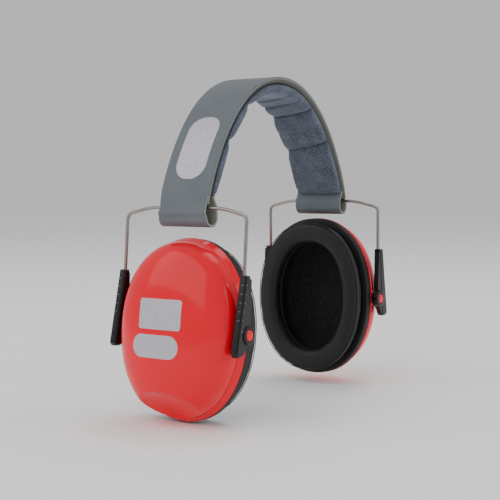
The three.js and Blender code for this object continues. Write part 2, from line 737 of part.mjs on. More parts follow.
/** Names the ends of a side's frame: the left side's frame is turned about Z. */
const endName = (side, end) => (end * side.sign < 0 ? 'front' : 'rear');

function addSide(parent, side) {
  const bail = new THREE.Group();
  bail.position.set(side.sign * CROSSBAR_REACH, 0, CROSSBAR_LEVEL);
  bail.rotation.order = 'ZYX';
  bail.rotation.z = side.sign < 0 ? Math.PI : 0;
  bail.rotation.y = -THREE.MathUtils.degToRad(side.splay);
  bail.add(piece(`${side.name}_wire_bail`, wireBail(), FINISHES.wire()));

  const sliders = new THREE.Group();
  sliders.position.z = -SHOULDER_DROP - RETRACTED_DROP - side.extension;
  bail.add(sliders);

  const cup = new THREE.Group();
  cup.position.x = -PIN_OFFSET;
  cup.rotation.y = -THREE.MathUtils.degToRad(side.cupLean);
  sliders.add(cup);
  for (const end of [-1, 1]) {
    const where = `${side.name}_${endName(side, end)}`;
    sliders.add(piece(`${where}_slider`, slider(end), FINISHES.slider()));
    cup.add(piece(`${where}_pivot_pin`, pivotPin(end), FINISHES.shell()));
  }
  cup.add(piece(`${side.name}_cup_shell`, cupShell(), FINISHES.shell()));
  cup.add(piece(`${side.name}_backplate`, backplate(), FINISHES.plate()));
  cup.add(piece(`${side.name}_cushion_ring`, cushionRing(), FINISHES.plate()));
  cup.add(piece(`${side.name}_cushion`, cushion(), FINISHES.cushion()));
  cup.add(piece(`${side.name}_foam_liner`, foamLiner(), FINISHES.foam()));
  parent.add(bail);
}

const earmuffs = new THREE.Group();
addHeadband(earmuffs);
SIDES.forEach((side) => addSide(earmuffs, side));

export default earmuffs;
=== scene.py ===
"""Folding over-the-head earmuffs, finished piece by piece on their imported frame.

Meshes are in metres, +Z up, in the frame's own axes. Sizes in the sub-assembly classes, and those
whose names end in _mm, are in millimetres.
"""

import json
import logging
import math
from contextlib import contextmanager
from dataclasses import dataclass
from enum import Enum
from typing import Any, Callable, Iterator, Sequence

import bmesh
import bpy
import numpy as np
from mathutils import Matrix, Vector, noise


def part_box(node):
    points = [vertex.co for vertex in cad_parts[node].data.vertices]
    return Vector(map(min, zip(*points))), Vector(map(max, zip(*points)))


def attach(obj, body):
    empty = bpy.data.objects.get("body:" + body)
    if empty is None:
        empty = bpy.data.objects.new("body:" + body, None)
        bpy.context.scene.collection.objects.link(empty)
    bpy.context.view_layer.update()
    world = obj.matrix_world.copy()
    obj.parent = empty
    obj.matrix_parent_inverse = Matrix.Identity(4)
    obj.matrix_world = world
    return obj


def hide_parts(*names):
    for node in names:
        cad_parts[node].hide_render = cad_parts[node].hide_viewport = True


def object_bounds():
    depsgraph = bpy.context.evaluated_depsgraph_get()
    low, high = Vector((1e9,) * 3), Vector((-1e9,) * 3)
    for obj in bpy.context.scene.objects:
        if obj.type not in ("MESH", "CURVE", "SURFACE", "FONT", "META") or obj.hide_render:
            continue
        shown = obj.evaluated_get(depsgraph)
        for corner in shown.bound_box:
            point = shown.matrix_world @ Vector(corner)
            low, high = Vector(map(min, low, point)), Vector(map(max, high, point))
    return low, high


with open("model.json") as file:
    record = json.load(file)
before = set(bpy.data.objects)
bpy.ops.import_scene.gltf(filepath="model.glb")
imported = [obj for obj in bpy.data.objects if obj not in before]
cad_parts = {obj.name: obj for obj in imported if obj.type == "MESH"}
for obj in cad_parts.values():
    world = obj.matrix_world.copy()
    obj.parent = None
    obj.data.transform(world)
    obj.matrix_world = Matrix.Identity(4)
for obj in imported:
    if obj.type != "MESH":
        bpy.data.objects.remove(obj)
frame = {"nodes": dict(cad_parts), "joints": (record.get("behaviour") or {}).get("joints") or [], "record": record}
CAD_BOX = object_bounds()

MM = 0.001
TOUCH = 1e-7  # two coordinates closer than this, in metres, are the same
HAIR_GAP = 0.3  # between neighbouring moulded pieces, in millimetres
LOG = logging.getLogger("earmuffs")
Thing = bpy.types.Object


def tint(code: str) -> tuple[float, float, float, float]:
    """Turns a screen colour into scene-linear numbers.

    Args:
        code: Six hexadecimal digits, red first.

    Returns:
        Red, green, blue and an alpha of 1.
    """
    parts = [int(code[i : i + 2], 16) / 255 for i in (0, 2, 4)]
    line = [p / 12.92 if p <= 0.04045 else ((p + 0.055) / 1.055) ** 2.4 for p in parts]
    return (*line, 1.0)


def smoothstep(value: float, low: float, high: float) -> float:
    """Eases from 0 at low to 1 at high.

    Args:
        value: The number to place.
        low: Where the result is 0.
        high: Where the result is 1.

    Returns:
        A share from 0 to 1.
    """
    share = min(max((value - low) / (high - low), 0.0), 1.0)
    return share * share * (3 - 2 * share)


def smooth_min(a: float, b: float, blend: float) -> float:
    """The lower of two numbers, rounded over where they cross.

    Args:
        a: One number.
        b: The other number.
        blend: How close the two are before the corner is rounded.

    Returns:
        The rounded minimum.
    """
    near = max(blend - abs(a - b), 0.0) / blend
    return min(a, b) - near * near * blend / 4


def bump_at(gap: float, width: float) -> float:
    """A bell curve: 1 at no gap, fading over a width."""
    return math.exp(-((gap / width) ** 2))


def quarter(steps: int = 4) -> list[float]:
    """The angles of a quarter turn in equal steps, both ends included."""
    return [i * math.pi / (2 * steps) for i in range(steps + 1)]


def run_length(points: np.ndarray) -> float:
    """The length of a line through points."""
    return float(np.linalg.norm(np.diff(points, axis=0), axis=1).sum())


# Shading


class Cells(Enum):
    """How cell noise measures its distance from the cells' middles."""

    CRISP = "F1"
    SOFT = "SMOOTH_F1"


class Value:
    """A number socket that takes part in ordinary arithmetic."""

    def __init__(self, graph: "Graph", socket: bpy.types.NodeSocket) -> None:
        """Keeps the graph that makes Math nodes and the socket wrapped."""
        self.graph = graph
        self.socket = socket

    def _maths(self, operation: str, first: Any, second: Any) -> "Value":
        """Adds one Math node.

        Args:
            operation: The Math node's operation.
            first: A Value or a number.
            second: A Value or a number.

        Returns:
            The node's result.
        """
        made = self.graph.node("ShaderNodeMath", {"operation": operation}, {0: first, 1: second})
        return Value(self.graph, made.outputs[0])

    def __add__(self, other: Any) -> "Value":
        """self + other."""
        return self._maths("ADD", self, other)

    def __radd__(self, other: Any) -> "Value":
        """other + self."""
        return self._maths("ADD", other, self)

    def __sub__(self, other: Any) -> "Value":
        """self - other."""
        return self._maths("SUBTRACT", self, other)

    def __rsub__(self, other: Any) -> "Value":
        """other - self."""
        return self._maths("SUBTRACT", other, self)

    def __mul__(self, other: Any) -> "Value":
        """self * other."""
        return self._maths("MULTIPLY", self, other)

    def __rmul__(self, other: Any) -> "Value":
        """other * self."""
        return self._maths("MULTIPLY", other, self)

    def at_most(self, other: Any) -> "Value":
        """The lower of self and other."""
        return self._maths("MINIMUM", self, other)

    def sine(self) -> "Value":
        """The sine of self."""
        return self._maths("SINE", self, 0.0)

    def eased(self, low: float, high: float) -> "Value":
        """Eases from 0 at low to 1 at high.

        Args:
            low: Where the result is 0.
            high: Where the result is 1.

        Returns:
            A value from 0 to 1.
        """
        made = self.graph.node(
            "ShaderNodeMapRange",
            {"interpolation_type": "SMOOTHSTEP"},
            {"Value": self, "From Min": low, "From Max": high},
        )
        return Value(self.graph, made.outputs[0])


class Graph:
    """The node tree of one material, around a Principled BSDF."""

    def __init__(self, name: str) -> None:
        """Makes an empty material with its shader and output.

        Args:
            name: The material's name.
        """
        self.material = bpy.data.materials.new(name)
        self.material.use_nodes = True
        self.tree = self.material.node_tree
        self.tree.nodes.clear()
        self.shader = self.node("ShaderNodeBsdfPrincipled")
        self.node("ShaderNodeOutputMaterial", values={"Surface": self.shader.outputs[0]})

    def node(
        self,
        kind: str,
        settings: dict[str, Any] | None = None,
        values: dict[str | int, Any] | None = None,
    ) -> bpy.types.Node:
        """Adds one node.

        Args:
            kind: The node's type.
            settings: Its own settings, set first; stops are a ramp's places and colours.
            values: A number, colour, socket or Value for each input, by name or index.

        Returns:
            The node.
        """
        made = self.tree.nodes.new(kind)
        for key, value in (settings or {}).items():
            if key != "stops":
                setattr(made, key, value)
                continue
            while len(made.color_ramp.elements) < len(value):
                made.color_ramp.elements.new(1.0)
            for stop, (place, colour) in zip(made.color_ramp.elements, value):
                stop.position = place
                stop.color = colour
        self.feed(made, values or {})
        return made

    def place(self, stretch: Sequence[float] = (1.0, 1.0, 1.0)) -> bpy.types.NodeSocket:
        """Object coordinates, stretched along each axis.

        Args:
            stretch: Scale along X, Y and Z.

        Returns:
            The coordinates.
        """
        where = self.node("ShaderNodeTexCoord").outputs["Object"]
        made = self.node("ShaderNodeMapping", values={"Vector": where, "Scale": stretch})
        return made.outputs[0]

    def axis(self, name: str) -> Value:
        """One object coordinate, X, Y or Z, in metres.

        Args:
            name: X, Y or Z.

        Returns:
            The coordinate.
        """
        where = self.node("ShaderNodeTexCoord").outputs["Object"]
        made = self.node("ShaderNodeSeparateXYZ", values={"Vector": where})
        return Value(self, made.outputs[name])

    def noise(
        self,
        size_mm: float,
        detail: float = 3.0,
        stretch: Sequence[float] = (1.0, 1.0, 1.0),
    ) -> Value:
        """Soft noise whose blotches are about a given size.

        Args:
            size_mm: The size of a blotch.
            detail: The number of finer layers.
            stretch: Scale along each axis, more being finer.

        Returns:
            The noise, about 0.5 in the middle.
        """
        values = {"Vector": self.place(stretch), "Scale": 1 / (size_mm * MM), "Detail": detail}
        return Value(self, self.node("ShaderNodeTexNoise", values=values).outputs["Fac"])

    def cells(self, size_mm: float, kind: Cells = Cells.CRISP) -> Value:
        """Distance from the middles of cells of a given size.

        Args:
            size_mm: The size of a cell.
            kind: Crisp or soft cells.

        Returns:
            The distance, 0 in the middle of a cell.
        """
        settings = {"feature": kind.value}
        values = {"Vector": self.place(), "Scale": 1 / (size_mm * MM)}
        made = self.node("ShaderNodeTexVoronoi", settings, values)
        return Value(self, made.outputs["Distance"])

    def mix(self, share: Any, first: Any, second: Any) -> bpy.types.NodeSocket:
        """Blends two colours.

        Args:
            share: How much of the second colour shows, 0 to 1.
            first: A colour or a colour socket.
            second: A colour or a colour socket.

        Returns:
            The blended colour.
        """
        values = {0: share, 6: first, 7: second}
        made = self.node("ShaderNodeMix", {"data_type": "RGBA"}, values)
        return made.outputs[2]

    def bump(self, height: Value, depth_mm: float, strength: float = 1.0) -> bpy.types.NodeSocket:
        """A bumped normal.

        Args:
            height: The surface's height, 0 to 1.
            depth_mm: The height of 1 in millimetres.
            strength: How much of the bump shows.

        Returns:
            The normal.
        """
        values = {"Height": height, "Distance": depth_mm * MM, "Strength": strength}
        return self.node("ShaderNodeBump", values=values).outputs[0]

    def feed(self, node: bpy.types.Node, values: dict[str | int, Any]) -> None:
        """Links or sets a node's inputs.

        Args:
            node: The node.
            values: A number, colour, socket or Value for each input, by name or index.
        """
        for key, value in values.items():
            socket = value.socket if isinstance(value, Value) else value
            if isinstance(socket, bpy.types.NodeSocket):
                self.tree.links.new(socket, node.inputs[key])
            else:
                node.inputs[key].default_value = socket

    def finish(self, values: dict[str | int, Any]) -> bpy.types.Material:
        """Feeds the shader and returns the material."""
        self.feed(self.shader, values)
        return self.material


@dataclass(frozen=True)
class Finish:
    """A finish, made into a material once and then shared."""

    name: str

    def make(self, graph: Graph) -> bpy.types.Material:
        """Builds the nodes; each kind of finish has its own."""
        raise NotImplementedError

    def material(self) -> bpy.types.Material:
        """The finish's material."""
        return bpy.data.materials.get(self.name) or self.make(Graph(self.name))


@dataclass(frozen=True)
class Vinyl(Finish):
    """Coated fabric with a fine pressed grain and faint scuffs."""

    colour: str = "5b6268"
    scuff: str = "757b7f"
    grain_mm: float = 0.8

    def make(self, graph: Graph) -> bpy.types.Material:
        """Pressed grain from cells, soft shade changes, and lighter scuffs.

        Args:
            graph: The new material's empty graph.

        Returns:
            The finished material.
        """
        shade = graph.noise(26, 2).eased(0.3, 0.7)
        base = graph.mix(shade * 0.22, tint(self.colour), tint(self.scuff))
        rubbed = graph.noise(5, 6, (1, 1, 0.35)).eased(0.6, 0.8)
        base = graph.mix(rubbed * 0.14, base, tint(self.scuff))
        grain = graph.cells(self.grain_mm, Cells.SOFT) + 0.5 * graph.noise(0.3, 2)
        base = graph.mix(grain.eased(0.35, 0.9) * 0.25, base, tint(self.scuff))
        return graph.finish(
            {
                "Base Color": base,
                "Roughness": 0.5 + 0.12 * graph.noise(3) - 0.1 * rubbed,
                "Specular IOR Level": 0.32,
                "Normal": graph.bump(grain, 0.1, 0.7),
            }
        )


@dataclass(frozen=True)
class Backing(Finish):
    """Pale woven backing of the coated fabric."""

    colour: str = "aeada5"
    shadow: str = "77766f"
    thread_mm: float = 0.5

    def make(self, graph: Graph) -> bpy.types.Material:
        """A plain weave from two crossed sine waves.

        Args:
            graph: The new material's empty graph.

        Returns:
            The finished material.
        """
        turn = 2 * math.pi / (self.thread_mm * MM)
        wander = graph.noise(2.0, 2) * 2
        warp = (graph.axis("Y") * turn + wander).sine()
        weft = (graph.axis("Z") * turn + wander).sine()
        weave = (warp * weft * 0.5 + 0.5).at_most(1.0)
        base = graph.mix(weave, tint(self.shadow), tint(self.colour))
        base = graph.mix(graph.noise(4).eased(0.45, 0.75) * 0.35, base, tint(self.shadow))
        return graph.finish(
            {
                "Base Color": base,
                "Roughness": 0.9,
                "Normal": graph.bump(weave, 0.12, 0.8),
            }
        )


@dataclass(frozen=True)
class Velour(Finish):
    """Short brushed pile with soft nap marks."""

    colour: str = "4a5160"
    light: str = "707888"
    dark: str = "363b47"

    def make(self, graph: Graph) -> bpy.types.Material:
        """Fibre speckle over broad nap marks, with sheen.

        Args:
            graph: The new material's empty graph.

        Returns:
            The finished material.
        """
        nap = graph.noise(9, 3).eased(0.35, 0.68)
        fibre = graph.noise(0.6, 4)
        tuft = graph.noise(1.5, 3, (1, 1, 1.6))
        base = graph.mix(nap, tint(self.dark), tint(self.colour))
        base = graph.mix(fibre.eased(0.45, 0.68) * 0.85, base, tint(self.light))
        base = graph.mix(tuft.eased(0.5, 0.7) * 0.4, base, tint(self.dark))
        height = fibre * 0.6 + tuft * 0.5
        return graph.finish(
            {
                "Base Color": base,
                "Roughness": 0.92 - 0.1 * fibre,
                "Sheen Weight": 0.55,
                "Sheen Roughness": 0.45,
                "Sheen Tint": tint("a9b4c8"),
                "Normal": graph.bump(height, 0.35, 0.8),
            }
        )


@dataclass(frozen=True)
class ShellGloss(Finish):
    """Moulded plastic with a high gloss and a trace of orange peel."""

    colour: str = "f00026"
    deep: str = "da001e"

    def make(self, graph: Graph) -> bpy.types.Material:
        """A slightly uneven colour, a wavy gloss and hairline scratches.

        Args:
            graph: The new material's empty graph.

        Returns:
            The finished material.
        """
        cloud = graph.noise(30, 2).eased(0.3, 0.7)
        base = graph.mix(cloud * 0.35, tint(self.colour), tint(self.deep))
        hair = graph.noise(1.2, 2, (1, 9, 0.5)).eased(0.66, 0.7)
        peel = graph.noise(2.2, 2) + 0.04 * hair
        return graph.finish(
            {
                "Base Color": base,
                "Roughness": 0.1 + 0.06 * graph.noise(6) + 0.06 * hair,
                "Specular IOR Level": 0.3,
                "Normal": graph.bump(peel, 0.02, 0.35),
            }
        )


@dataclass(frozen=True)
class Moulded(Finish):
    """Dark moulded plastic with a fine spark-eroded texture."""

    colour: str = "1b1c1e"
    worn: str = "3a3c3f"
    roughness: float = 0.36
    texture_mm: float = 0.35

    def make(self, graph: Graph) -> bpy.types.Material:
        """Fine texture, faint flow marks and slightly rubbed patches.

        Args:
            graph: The new material's empty graph.

        Returns:
            The finished material.
        """
        flow = graph.noise(7, 3, (1, 1, 0.3)).eased(0.45, 0.75)
        base = graph.mix(flow * 0.3, tint(self.colour), tint(self.worn))
        texture = graph.noise(self.texture_mm, 2)
        rubbed = graph.noise(2.5, 4).eased(0.58, 0.8)
        return graph.finish(
            {
                "Base Color": graph.mix(rubbed * 0.2, base, tint(self.worn)),
                "Roughness": self.roughness + 0.12 * texture + 0.1 * rubbed,
                "Specular IOR Level": 0.36,
                "Normal": graph.bump(texture, 0.03, 0.5),
            }
        )


@dataclass(frozen=True)
class CushionSkin(Finish):
    """Thin soft film over foam: satin, finely wrinkled."""

    colour: str = "1a1a1c"
    bloom: str = "29292c"

    def make(self, graph: Graph) -> bpy.types.Material:
        """Leathery micro grain, finger bloom and slow waves in the gloss.

        Args:
            graph: The new material's empty graph.

        Returns:
            The finished material.
        """
        bloom = graph.noise(14, 4).eased(0.45, 0.75)
        base = graph.mix(bloom * 0.4, tint(self.colour), tint(self.bloom))
        grain = graph.cells(0.7, Cells.SOFT) * 0.6 + graph.noise(0.4, 3) * 0.5
        waves = graph.noise(7, 2)
        return graph.finish(
            {
                "Base Color": base,
                "Roughness": 0.5 + 0.14 * bloom,
                "Specular IOR Level": 0.35,
                "Normal": graph.bump(grain + 3 * waves, 0.035, 0.6),
            }
        )


@dataclass(frozen=True)
class OpenFoam(Finish):
    """Open-cell foam: near black, pitted all over."""

    colour: str = "202022"
    # Colour of the pore rims; the pits keep the darker colour as painted shade.
    light: str = "3e3e41"
    pore_mm: float = 0.75

    def make(self, graph: Graph) -> bpy.types.Material:
        """Pores of two sizes, their pits darker than their paler rims as painted shade.

        Args:
            graph: The new material's empty graph.

        Returns:
            The finished material.
        """
        pore = graph.cells(self.pore_mm, Cells.SOFT)
        fine = graph.cells(self.pore_mm * 0.4)
        # Painted shade: the pores' pits take the dark colour, their rims the paler one.
        rim = pore.eased(0.3, 0.65)
        base = graph.mix(rim * 0.45, tint(self.colour), tint(self.light))
        return graph.finish(
            {
                "Base Color": base,
                "Roughness": 1.0 - 0.08 * fine,
                "Specular IOR Level": 0.2,
                "Normal": graph.bump(pore + 0.5 * fine, 0.3, 0.7),
            }
        )


@dataclass(frozen=True)
class Metal(Finish):
    """Drawn or rolled metal with lines along its length."""

    colour: str = "98908a"
    stain: str = "766a61"
    roughness: float = 0.27

    def make(self, graph: Graph) -> bpy.types.Material:
        """Drawing lines, faint stains and a varied polish.

        Args:
            graph: The new material's empty graph.

        Returns:
            The finished material.
        """
        lines = graph.noise(0.5, 3, (1, 1, 0.03))
        stain = graph.noise(4, 4).eased(0.5, 0.8)
        return graph.finish(
            {
                "Base Color": graph.mix(stain * 0.5, tint(self.colour), tint(self.stain)),
                "Metallic": 0.96,
                "Roughness": self.roughness + 0.14 * lines + 0.1 * stain,
                "Normal": graph.bump(lines, 0.02, 0.4),
            }
        )


@dataclass(frozen=True)
class SilverPrint(Finish):
    """Screen-printed silver ink with a fine sparkle."""

    colour: str = "d6d2d8"
    dark: str = "b4afb8"

    def make(self, graph: Graph) -> bpy.types.Material:
        """Flake speckle in colour, metal and roughness.

        Args:
            graph: The new material's empty graph.

        Returns:
            The finished material.
        """
        flake = graph.cells(0.45)
        speck = flake.eased(0.25, 0.6)
        return graph.finish(
            {
                "Base Color": graph.mix(speck, tint(self.colour), tint(self.dark)),
                "Metallic": 0.25 + 0.2 * speck,
                "Roughness": 0.42 + 0.15 * graph.noise(0.6),
                "Normal": graph.bump(flake, 0.02, 0.4),
            }
        )


@dataclass(frozen=True)
class Thread(Finish):
    """Twisted sewing thread."""

    colour: str = "5a6373"
    shadow: str = "363d49"

    def make(self, graph: Graph) -> bpy.types.Material:
        """Diagonal twist lines.

        Args:
            graph: The new material's empty graph.

        Returns:
            The finished material.
        """
        turn = 2 * math.pi / (0.45 * MM)
        twist = ((graph.axis("Y") + graph.axis("Z")) * turn).sine() * 0.5 + 0.5
        return graph.finish(
            {
                "Base Color": graph.mix(twist, tint(self.shadow), tint(self.colour)),
                "Roughness": 0.75,
                "Normal": graph.bump(twist, 0.08, 0.7),
            }
        )


@dataclass(frozen=True)
class StudioFloor(Finish):
    """Matt white sweep."""

    colour: str = "ffffff"
    shade: str = "fcfcfc"

    def make(self, graph: Graph) -> bpy.types.Material:
        """Almost even white with a slight unevenness."""
        base = graph.mix(graph.noise(400, 1), tint(self.colour), tint(self.shade))
        return graph.finish({"Base Color": base, "Roughness": 0.9})


VINYL = Vinyl("slate_vinyl")
# The cover's own vinyl on the band's side faces, coloured darker as painted shade.
SHADED_SIDE_VINYL = Vinyl("slate_vinyl_side", colour="4c4f4a", scuff="666963")
# Piping along the band's edges; its pale colour is a painted highlight of the rounded edges.
PIPING_PAINTED_HIGHLIGHT = Vinyl("pale_piping", colour="7d827c", scuff="999e97", grain_mm=0.35)
BACKING = Backing("woven_backing")
VELOUR = Velour("blue_grey_velour")
THREAD = Thread("blue_grey_thread")
RED_SHELL = ShellGloss("red_shell_gloss")
BLACK_SLIDER = Moulded("black_slider_plastic", colour="0e0e10", worn="1f2022", roughness=0.2)
# The tick marks' light grey is a painted highlight, light caught on their edges.
TICK_PAINTED_HIGHLIGHT = Moulded("tick_mark_grey", colour="66686b", worn="7e8083", roughness=0.4)
DARK_PLATE = Moulded("dark_plate_plastic", colour="111113", worn="1b1c1e", roughness=0.46)
CUSHION_SKIN = CushionSkin("soft_black_skin")
BLACK_FOAM = OpenFoam("black_open_foam")
WIRE_METAL = Metal("drawn_stainless")
STRIP_METAL = Metal("rolled_strip_steel", colour="9a9ea3", stain="74787c", roughness=0.36)
SILVER = SilverPrint("silver_print")
FLOOR = StudioFloor("studio_floor")


# The modelling bench


class Merge(Enum):
    """What a tool does to a piece."""

    JOIN = "UNION"
    CUT = "DIFFERENCE"


class Bench:
    """Modelling as by hand: primitives, edit-mode operators and applied modifiers."""

    @staticmethod
    def take(piece: Thing) -> Thing:
        """Selects one object alone and makes it active.

        Args:
            piece: The object to work on.

        Returns:
            The same object.
        """
        bpy.ops.object.select_all(action="DESELECT")
        bpy.context.view_layer.objects.active = piece
        piece.select_set(True)
        return piece

    @staticmethod
    def fresh(name: str, add: Callable[..., Any], **settings: Any) -> Thing:
        """Adds a primitive with nothing else selected.

        Args:
            name: The object's name.
            add: The operator that adds it.
            settings: The operator's settings.

        Returns:
            The new object, active and selected.
        """
        bpy.ops.object.select_all(action="DESELECT")
        add(**settings)
        piece = bpy.context.view_layer.objects.active
        piece.name = name
        piece.data.name = name
        return piece

    @staticmethod
    def freeze(piece: Thing) -> Thing:
        """Puts the place, turn and scale of the selected piece into its mesh."""
        bpy.ops.object.transform_apply(location=True, rotation=True, scale=True)
        return piece

    @staticmethod
    @contextmanager
    def editing(piece: Thing, everything: bool = False) -> Iterator[None]:
        """Opens edit mode on one object, with nothing or everything selected.

        Args:
            piece: The object to edit.
            everything: Whether everything starts selected.
        """
        Bench.take(piece)
        bpy.ops.object.mode_set(mode="EDIT")
        bpy.ops.mesh.select_mode(type="VERT")
        bpy.ops.mesh.select_all(action="SELECT" if everything else "DESELECT")
        yield
        bpy.ops.object.mode_set(mode="OBJECT")

    @staticmethod
    def bevel(
        piece: Thing, test: Callable[[bmesh.types.BMEdge], bool], width: float, segments: int
    ) -> None:
        """Bevels the edges that pass a test, in edit mode.

        Args:
            piece: The object being edited.
            test: Says whether an edge is wanted.
            width: The bevel's width, in metres.
            segments: Its steps, 1 for a chamfer.
        """
        bpy.ops.mesh.select_all(action="DESELECT")
        bpy.ops.mesh.select_mode(type="EDGE")
        for edge in bmesh.from_edit_mesh(piece.data).edges:
            if test(edge):
                edge.select_set(True)
        bmesh.update_edit_mesh(piece.data)
        bpy.ops.mesh.bevel(offset=width, segments=segments, affect="EDGES")

    @staticmethod
    def modify(piece: Thing, kind: str, **settings: Any) -> Thing:
        """Adds one modifier and applies it.

        Args:
            piece: The object to change.
            kind: The modifier's type.
            settings: The modifier's own settings.

        Returns:
            The changed object.
        """
        Bench.take(piece)
        modifier = piece.modifiers.new(kind.title(), kind)
        for key, value in settings.items():
            setattr(modifier, key, value)
        bpy.ops.object.modifier_apply(modifier=modifier.name)
        return piece

    @staticmethod
    def combine(piece: Thing, tool: Thing, merge: Merge) -> Thing:
        """Joins or cuts a piece with a tool, which is then thrown away.

        Args:
            piece: The object to change.
            tool: The object that joins or cuts it.
            merge: Whether to join or to cut.

        Returns:
            The changed object.
        """
        Bench.modify(piece, "BOOLEAN", object=tool, operation=merge.value, solver="EXACT")
        bpy.data.objects.remove(tool)
        return piece

    @staticmethod
    def gather(piece: Thing, others: Sequence[Thing]) -> Thing:
        """Makes several objects one mesh.

        Args:
            piece: The object that takes the others in.
            others: The other objects.

        Returns:
            The joined object.
        """
        Bench.take(piece)
        for other in others:
            other.select_set(True)
        bpy.ops.object.join()
        return piece

    @staticmethod
    def clean(piece: Thing, angle: float = 35.0) -> Thing:
        """Merges doubles, turns faces outward and shades smooth up to an angle.

        Args:
            piece: The object to clean.
            angle: The sharpest angle still smoothed, in degrees.

        Returns:
            The cleaned object.
        """
        with Bench.editing(piece, everything=True):
            bpy.ops.mesh.remove_doubles(threshold=1e-6)
            bpy.ops.mesh.normals_make_consistent(inside=False)
        return Bench.smooth(piece, angle)

    @staticmethod
    def smooth(piece: Thing, angle: float = 35.0) -> Thing:
        """Shades smooth except at edges sharper than an angle in degrees.

        Args:
            piece: The object to shade.
            angle: The sharpest angle still smoothed, in degrees.

        Returns:
            The same object.
        """
        Bench.take(piece)
        bpy.ops.object.shade_smooth_by_angle(angle=math.radians(angle))
        return piece

    @staticmethod
    def turned(name: str, profile: Sequence[tuple[float, float]], steps: int) -> Thing:
        """Spins a closed profile about the X axis.

        Args:
            name: The object's name.
            profile: Radius and place along X of each point, in metres, in order.
            steps: The number of segments round the axis.

        Returns:
            A closed solid of revolution.
        """
        circle = bpy.ops.mesh.primitive_circle_add
        piece = Bench.fresh(name, circle, vertices=len(profile), radius=0.01)
        for vertex, (radius, along) in zip(piece.data.vertices, profile):
            vertex.co = (along, radius, 0.0)
        with Bench.editing(piece, everything=True):
            bpy.ops.mesh.spin(steps=steps, angle=2 * math.pi, center=(0, 0, 0), axis=(1, 0, 0))
        return Bench.clean(piece)

    @staticmethod
    def prism(name: str, outline: Sequence[tuple[float, float]], low: float, high: float) -> Thing:
        """Extrudes a side-view outline across Y.

        Args:
            name: The object's name.
            outline: X and Z of each corner, in metres, in order.
            low: The lower Y.
            high: The higher Y.

        Returns:
            A closed prism.
        """
        circle = bpy.ops.mesh.primitive_circle_add
        piece = Bench.fresh(name, circle, vertices=len(outline), radius=0.01, fill_type="NGON")
        for vertex, (x, z) in zip(piece.data.vertices, outline):
            vertex.co = (x, low, z)
        with Bench.editing(piece, everything=True):
            bpy.ops.mesh.extrude_region_move(TRANSFORM_OT_translate={"value": (0, high - low, 0)})
        return Bench.clean(piece)

    @staticmethod
    def barrel(name: str, radius: float, low: float, high: float, x: float) -> Thing:
        """A round bar along Y.

        Args:
            name: The object's name.
            radius: Its radius, in metres.
            low: One end along Y.
            high: The other end along Y.
            x: X of its axis.

        Returns:
            The bar.
        """
        piece = Bench.fresh(
            name,
            bpy.ops.mesh.primitive_cylinder_add,
            vertices=40,
            radius=radius,
            depth=abs(high - low),
            location=(x, (low + high) / 2, 0.0),
            rotation=(math.pi / 2, 0, 0),
        )
        return Bench.freeze(piece)

    @staticmethod
    def strip(
        name: str,
        size: tuple[float, float, float],
        cells: tuple[int, int],
        edge: float = 0.0,
    ) -> Thing:
        """A flat strip: X along, Y across, its outer face at Z = 0.

        Args:
            name: The object's name.
            size: Length, width and thickness, in metres.
            cells: The number of cells along and across.
            edge: The rounding of its long edges.

        Returns:
            The closed strip.
        """
        length, width, thick = size
        grid = bpy.ops.mesh.primitive_grid_add
        piece = Bench.fresh(name, grid, x_subdivisions=cells[0], y_subdivisions=cells[1], size=1)
        piece.scale = (length, width, 1)
        Bench.freeze(piece)

        def on_long_edge(edge: bmesh.types.BMEdge) -> bool:
            """Says whether an edge runs along one of the strip's four long corners.

            Args:
                edge: An edge of the strip.

            Returns:
                True if it does.
            """
            ends = [vertex.co for vertex in edge.verts]
            outermost = all(abs(abs(end.y) - width / 2) < TOUCH for end in ends)
            return outermost and abs(ends[0].z - ends[1].z) < TOUCH

        with Bench.editing(piece, everything=True):
            bpy.ops.mesh.extrude_region_move(TRANSFORM_OT_translate={"value": (0, 0, -thick)})
            bpy.ops.mesh.select_all(action="SELECT")
            bpy.ops.mesh.normals_make_consistent(inside=False)
            if edge > 0:
                Bench.bevel(piece, on_long_edge, edge, 4)
        return Bench.smooth(piece, 50)

    @staticmethod
    def rod(name: str, points: Sequence[Vector], radius: float, resolution: int = 4) -> Thing:
        """A round rod along points, made a mesh.

        Args:
            name: The object's name.
            points: The places that its middle follows.
            radius: Its radius, in metres.
            resolution: A quarter of its sides, less one.

        Returns:
            The rod, closed at both ends.
        """
        piece = Bench.fresh(name, bpy.ops.curve.primitive_bezier_curve_add)
        piece.data.splines.clear()
        spline = piece.data.splines.new("POLY")
        spline.points.add(len(points) - 1)
        for slot, point in zip(spline.points, points):
            slot.co = (*point, 1.0)
        piece.data.bevel_depth = radius
        piece.data.bevel_resolution = resolution
        piece.data.use_fill_caps = True
        Bench.take(piece)
        bpy.ops.object.convert(target="MESH")
        piece = bpy.context.view_layer.objects.active
        return Bench.clean(piece, 60)

    @staticmethod
    def placed_copy(piece: Thing, name: str, matrix: Matrix) -> Thing:
        """Copies a finished template with its own mesh, its place in the mesh.

        Args:
            piece: The template.
            name: The copy's name.
            matrix: Its place and turn.

        Returns:
            The copy.
        """
        twin = piece.copy()
        twin.data = piece.data.copy()
        twin.name = name
        twin.data.name = name
        twin.data.transform(matrix)
        bpy.context.scene.collection.objects.link(twin)
        return twin

    @staticmethod
    def discard(*pieces: Thing) -> None:
        """Removes templates."""
        for piece in pieces:
            bpy.data.objects.remove(piece)


def face_edges(level: float) -> Callable[[bmesh.types.BMEdge], bool]:
    """A test for the edges of the flat face at a level along Y."""
    return lambda edge: all(abs(vertex.co.y - level) < TOUCH for vertex in edge.verts)


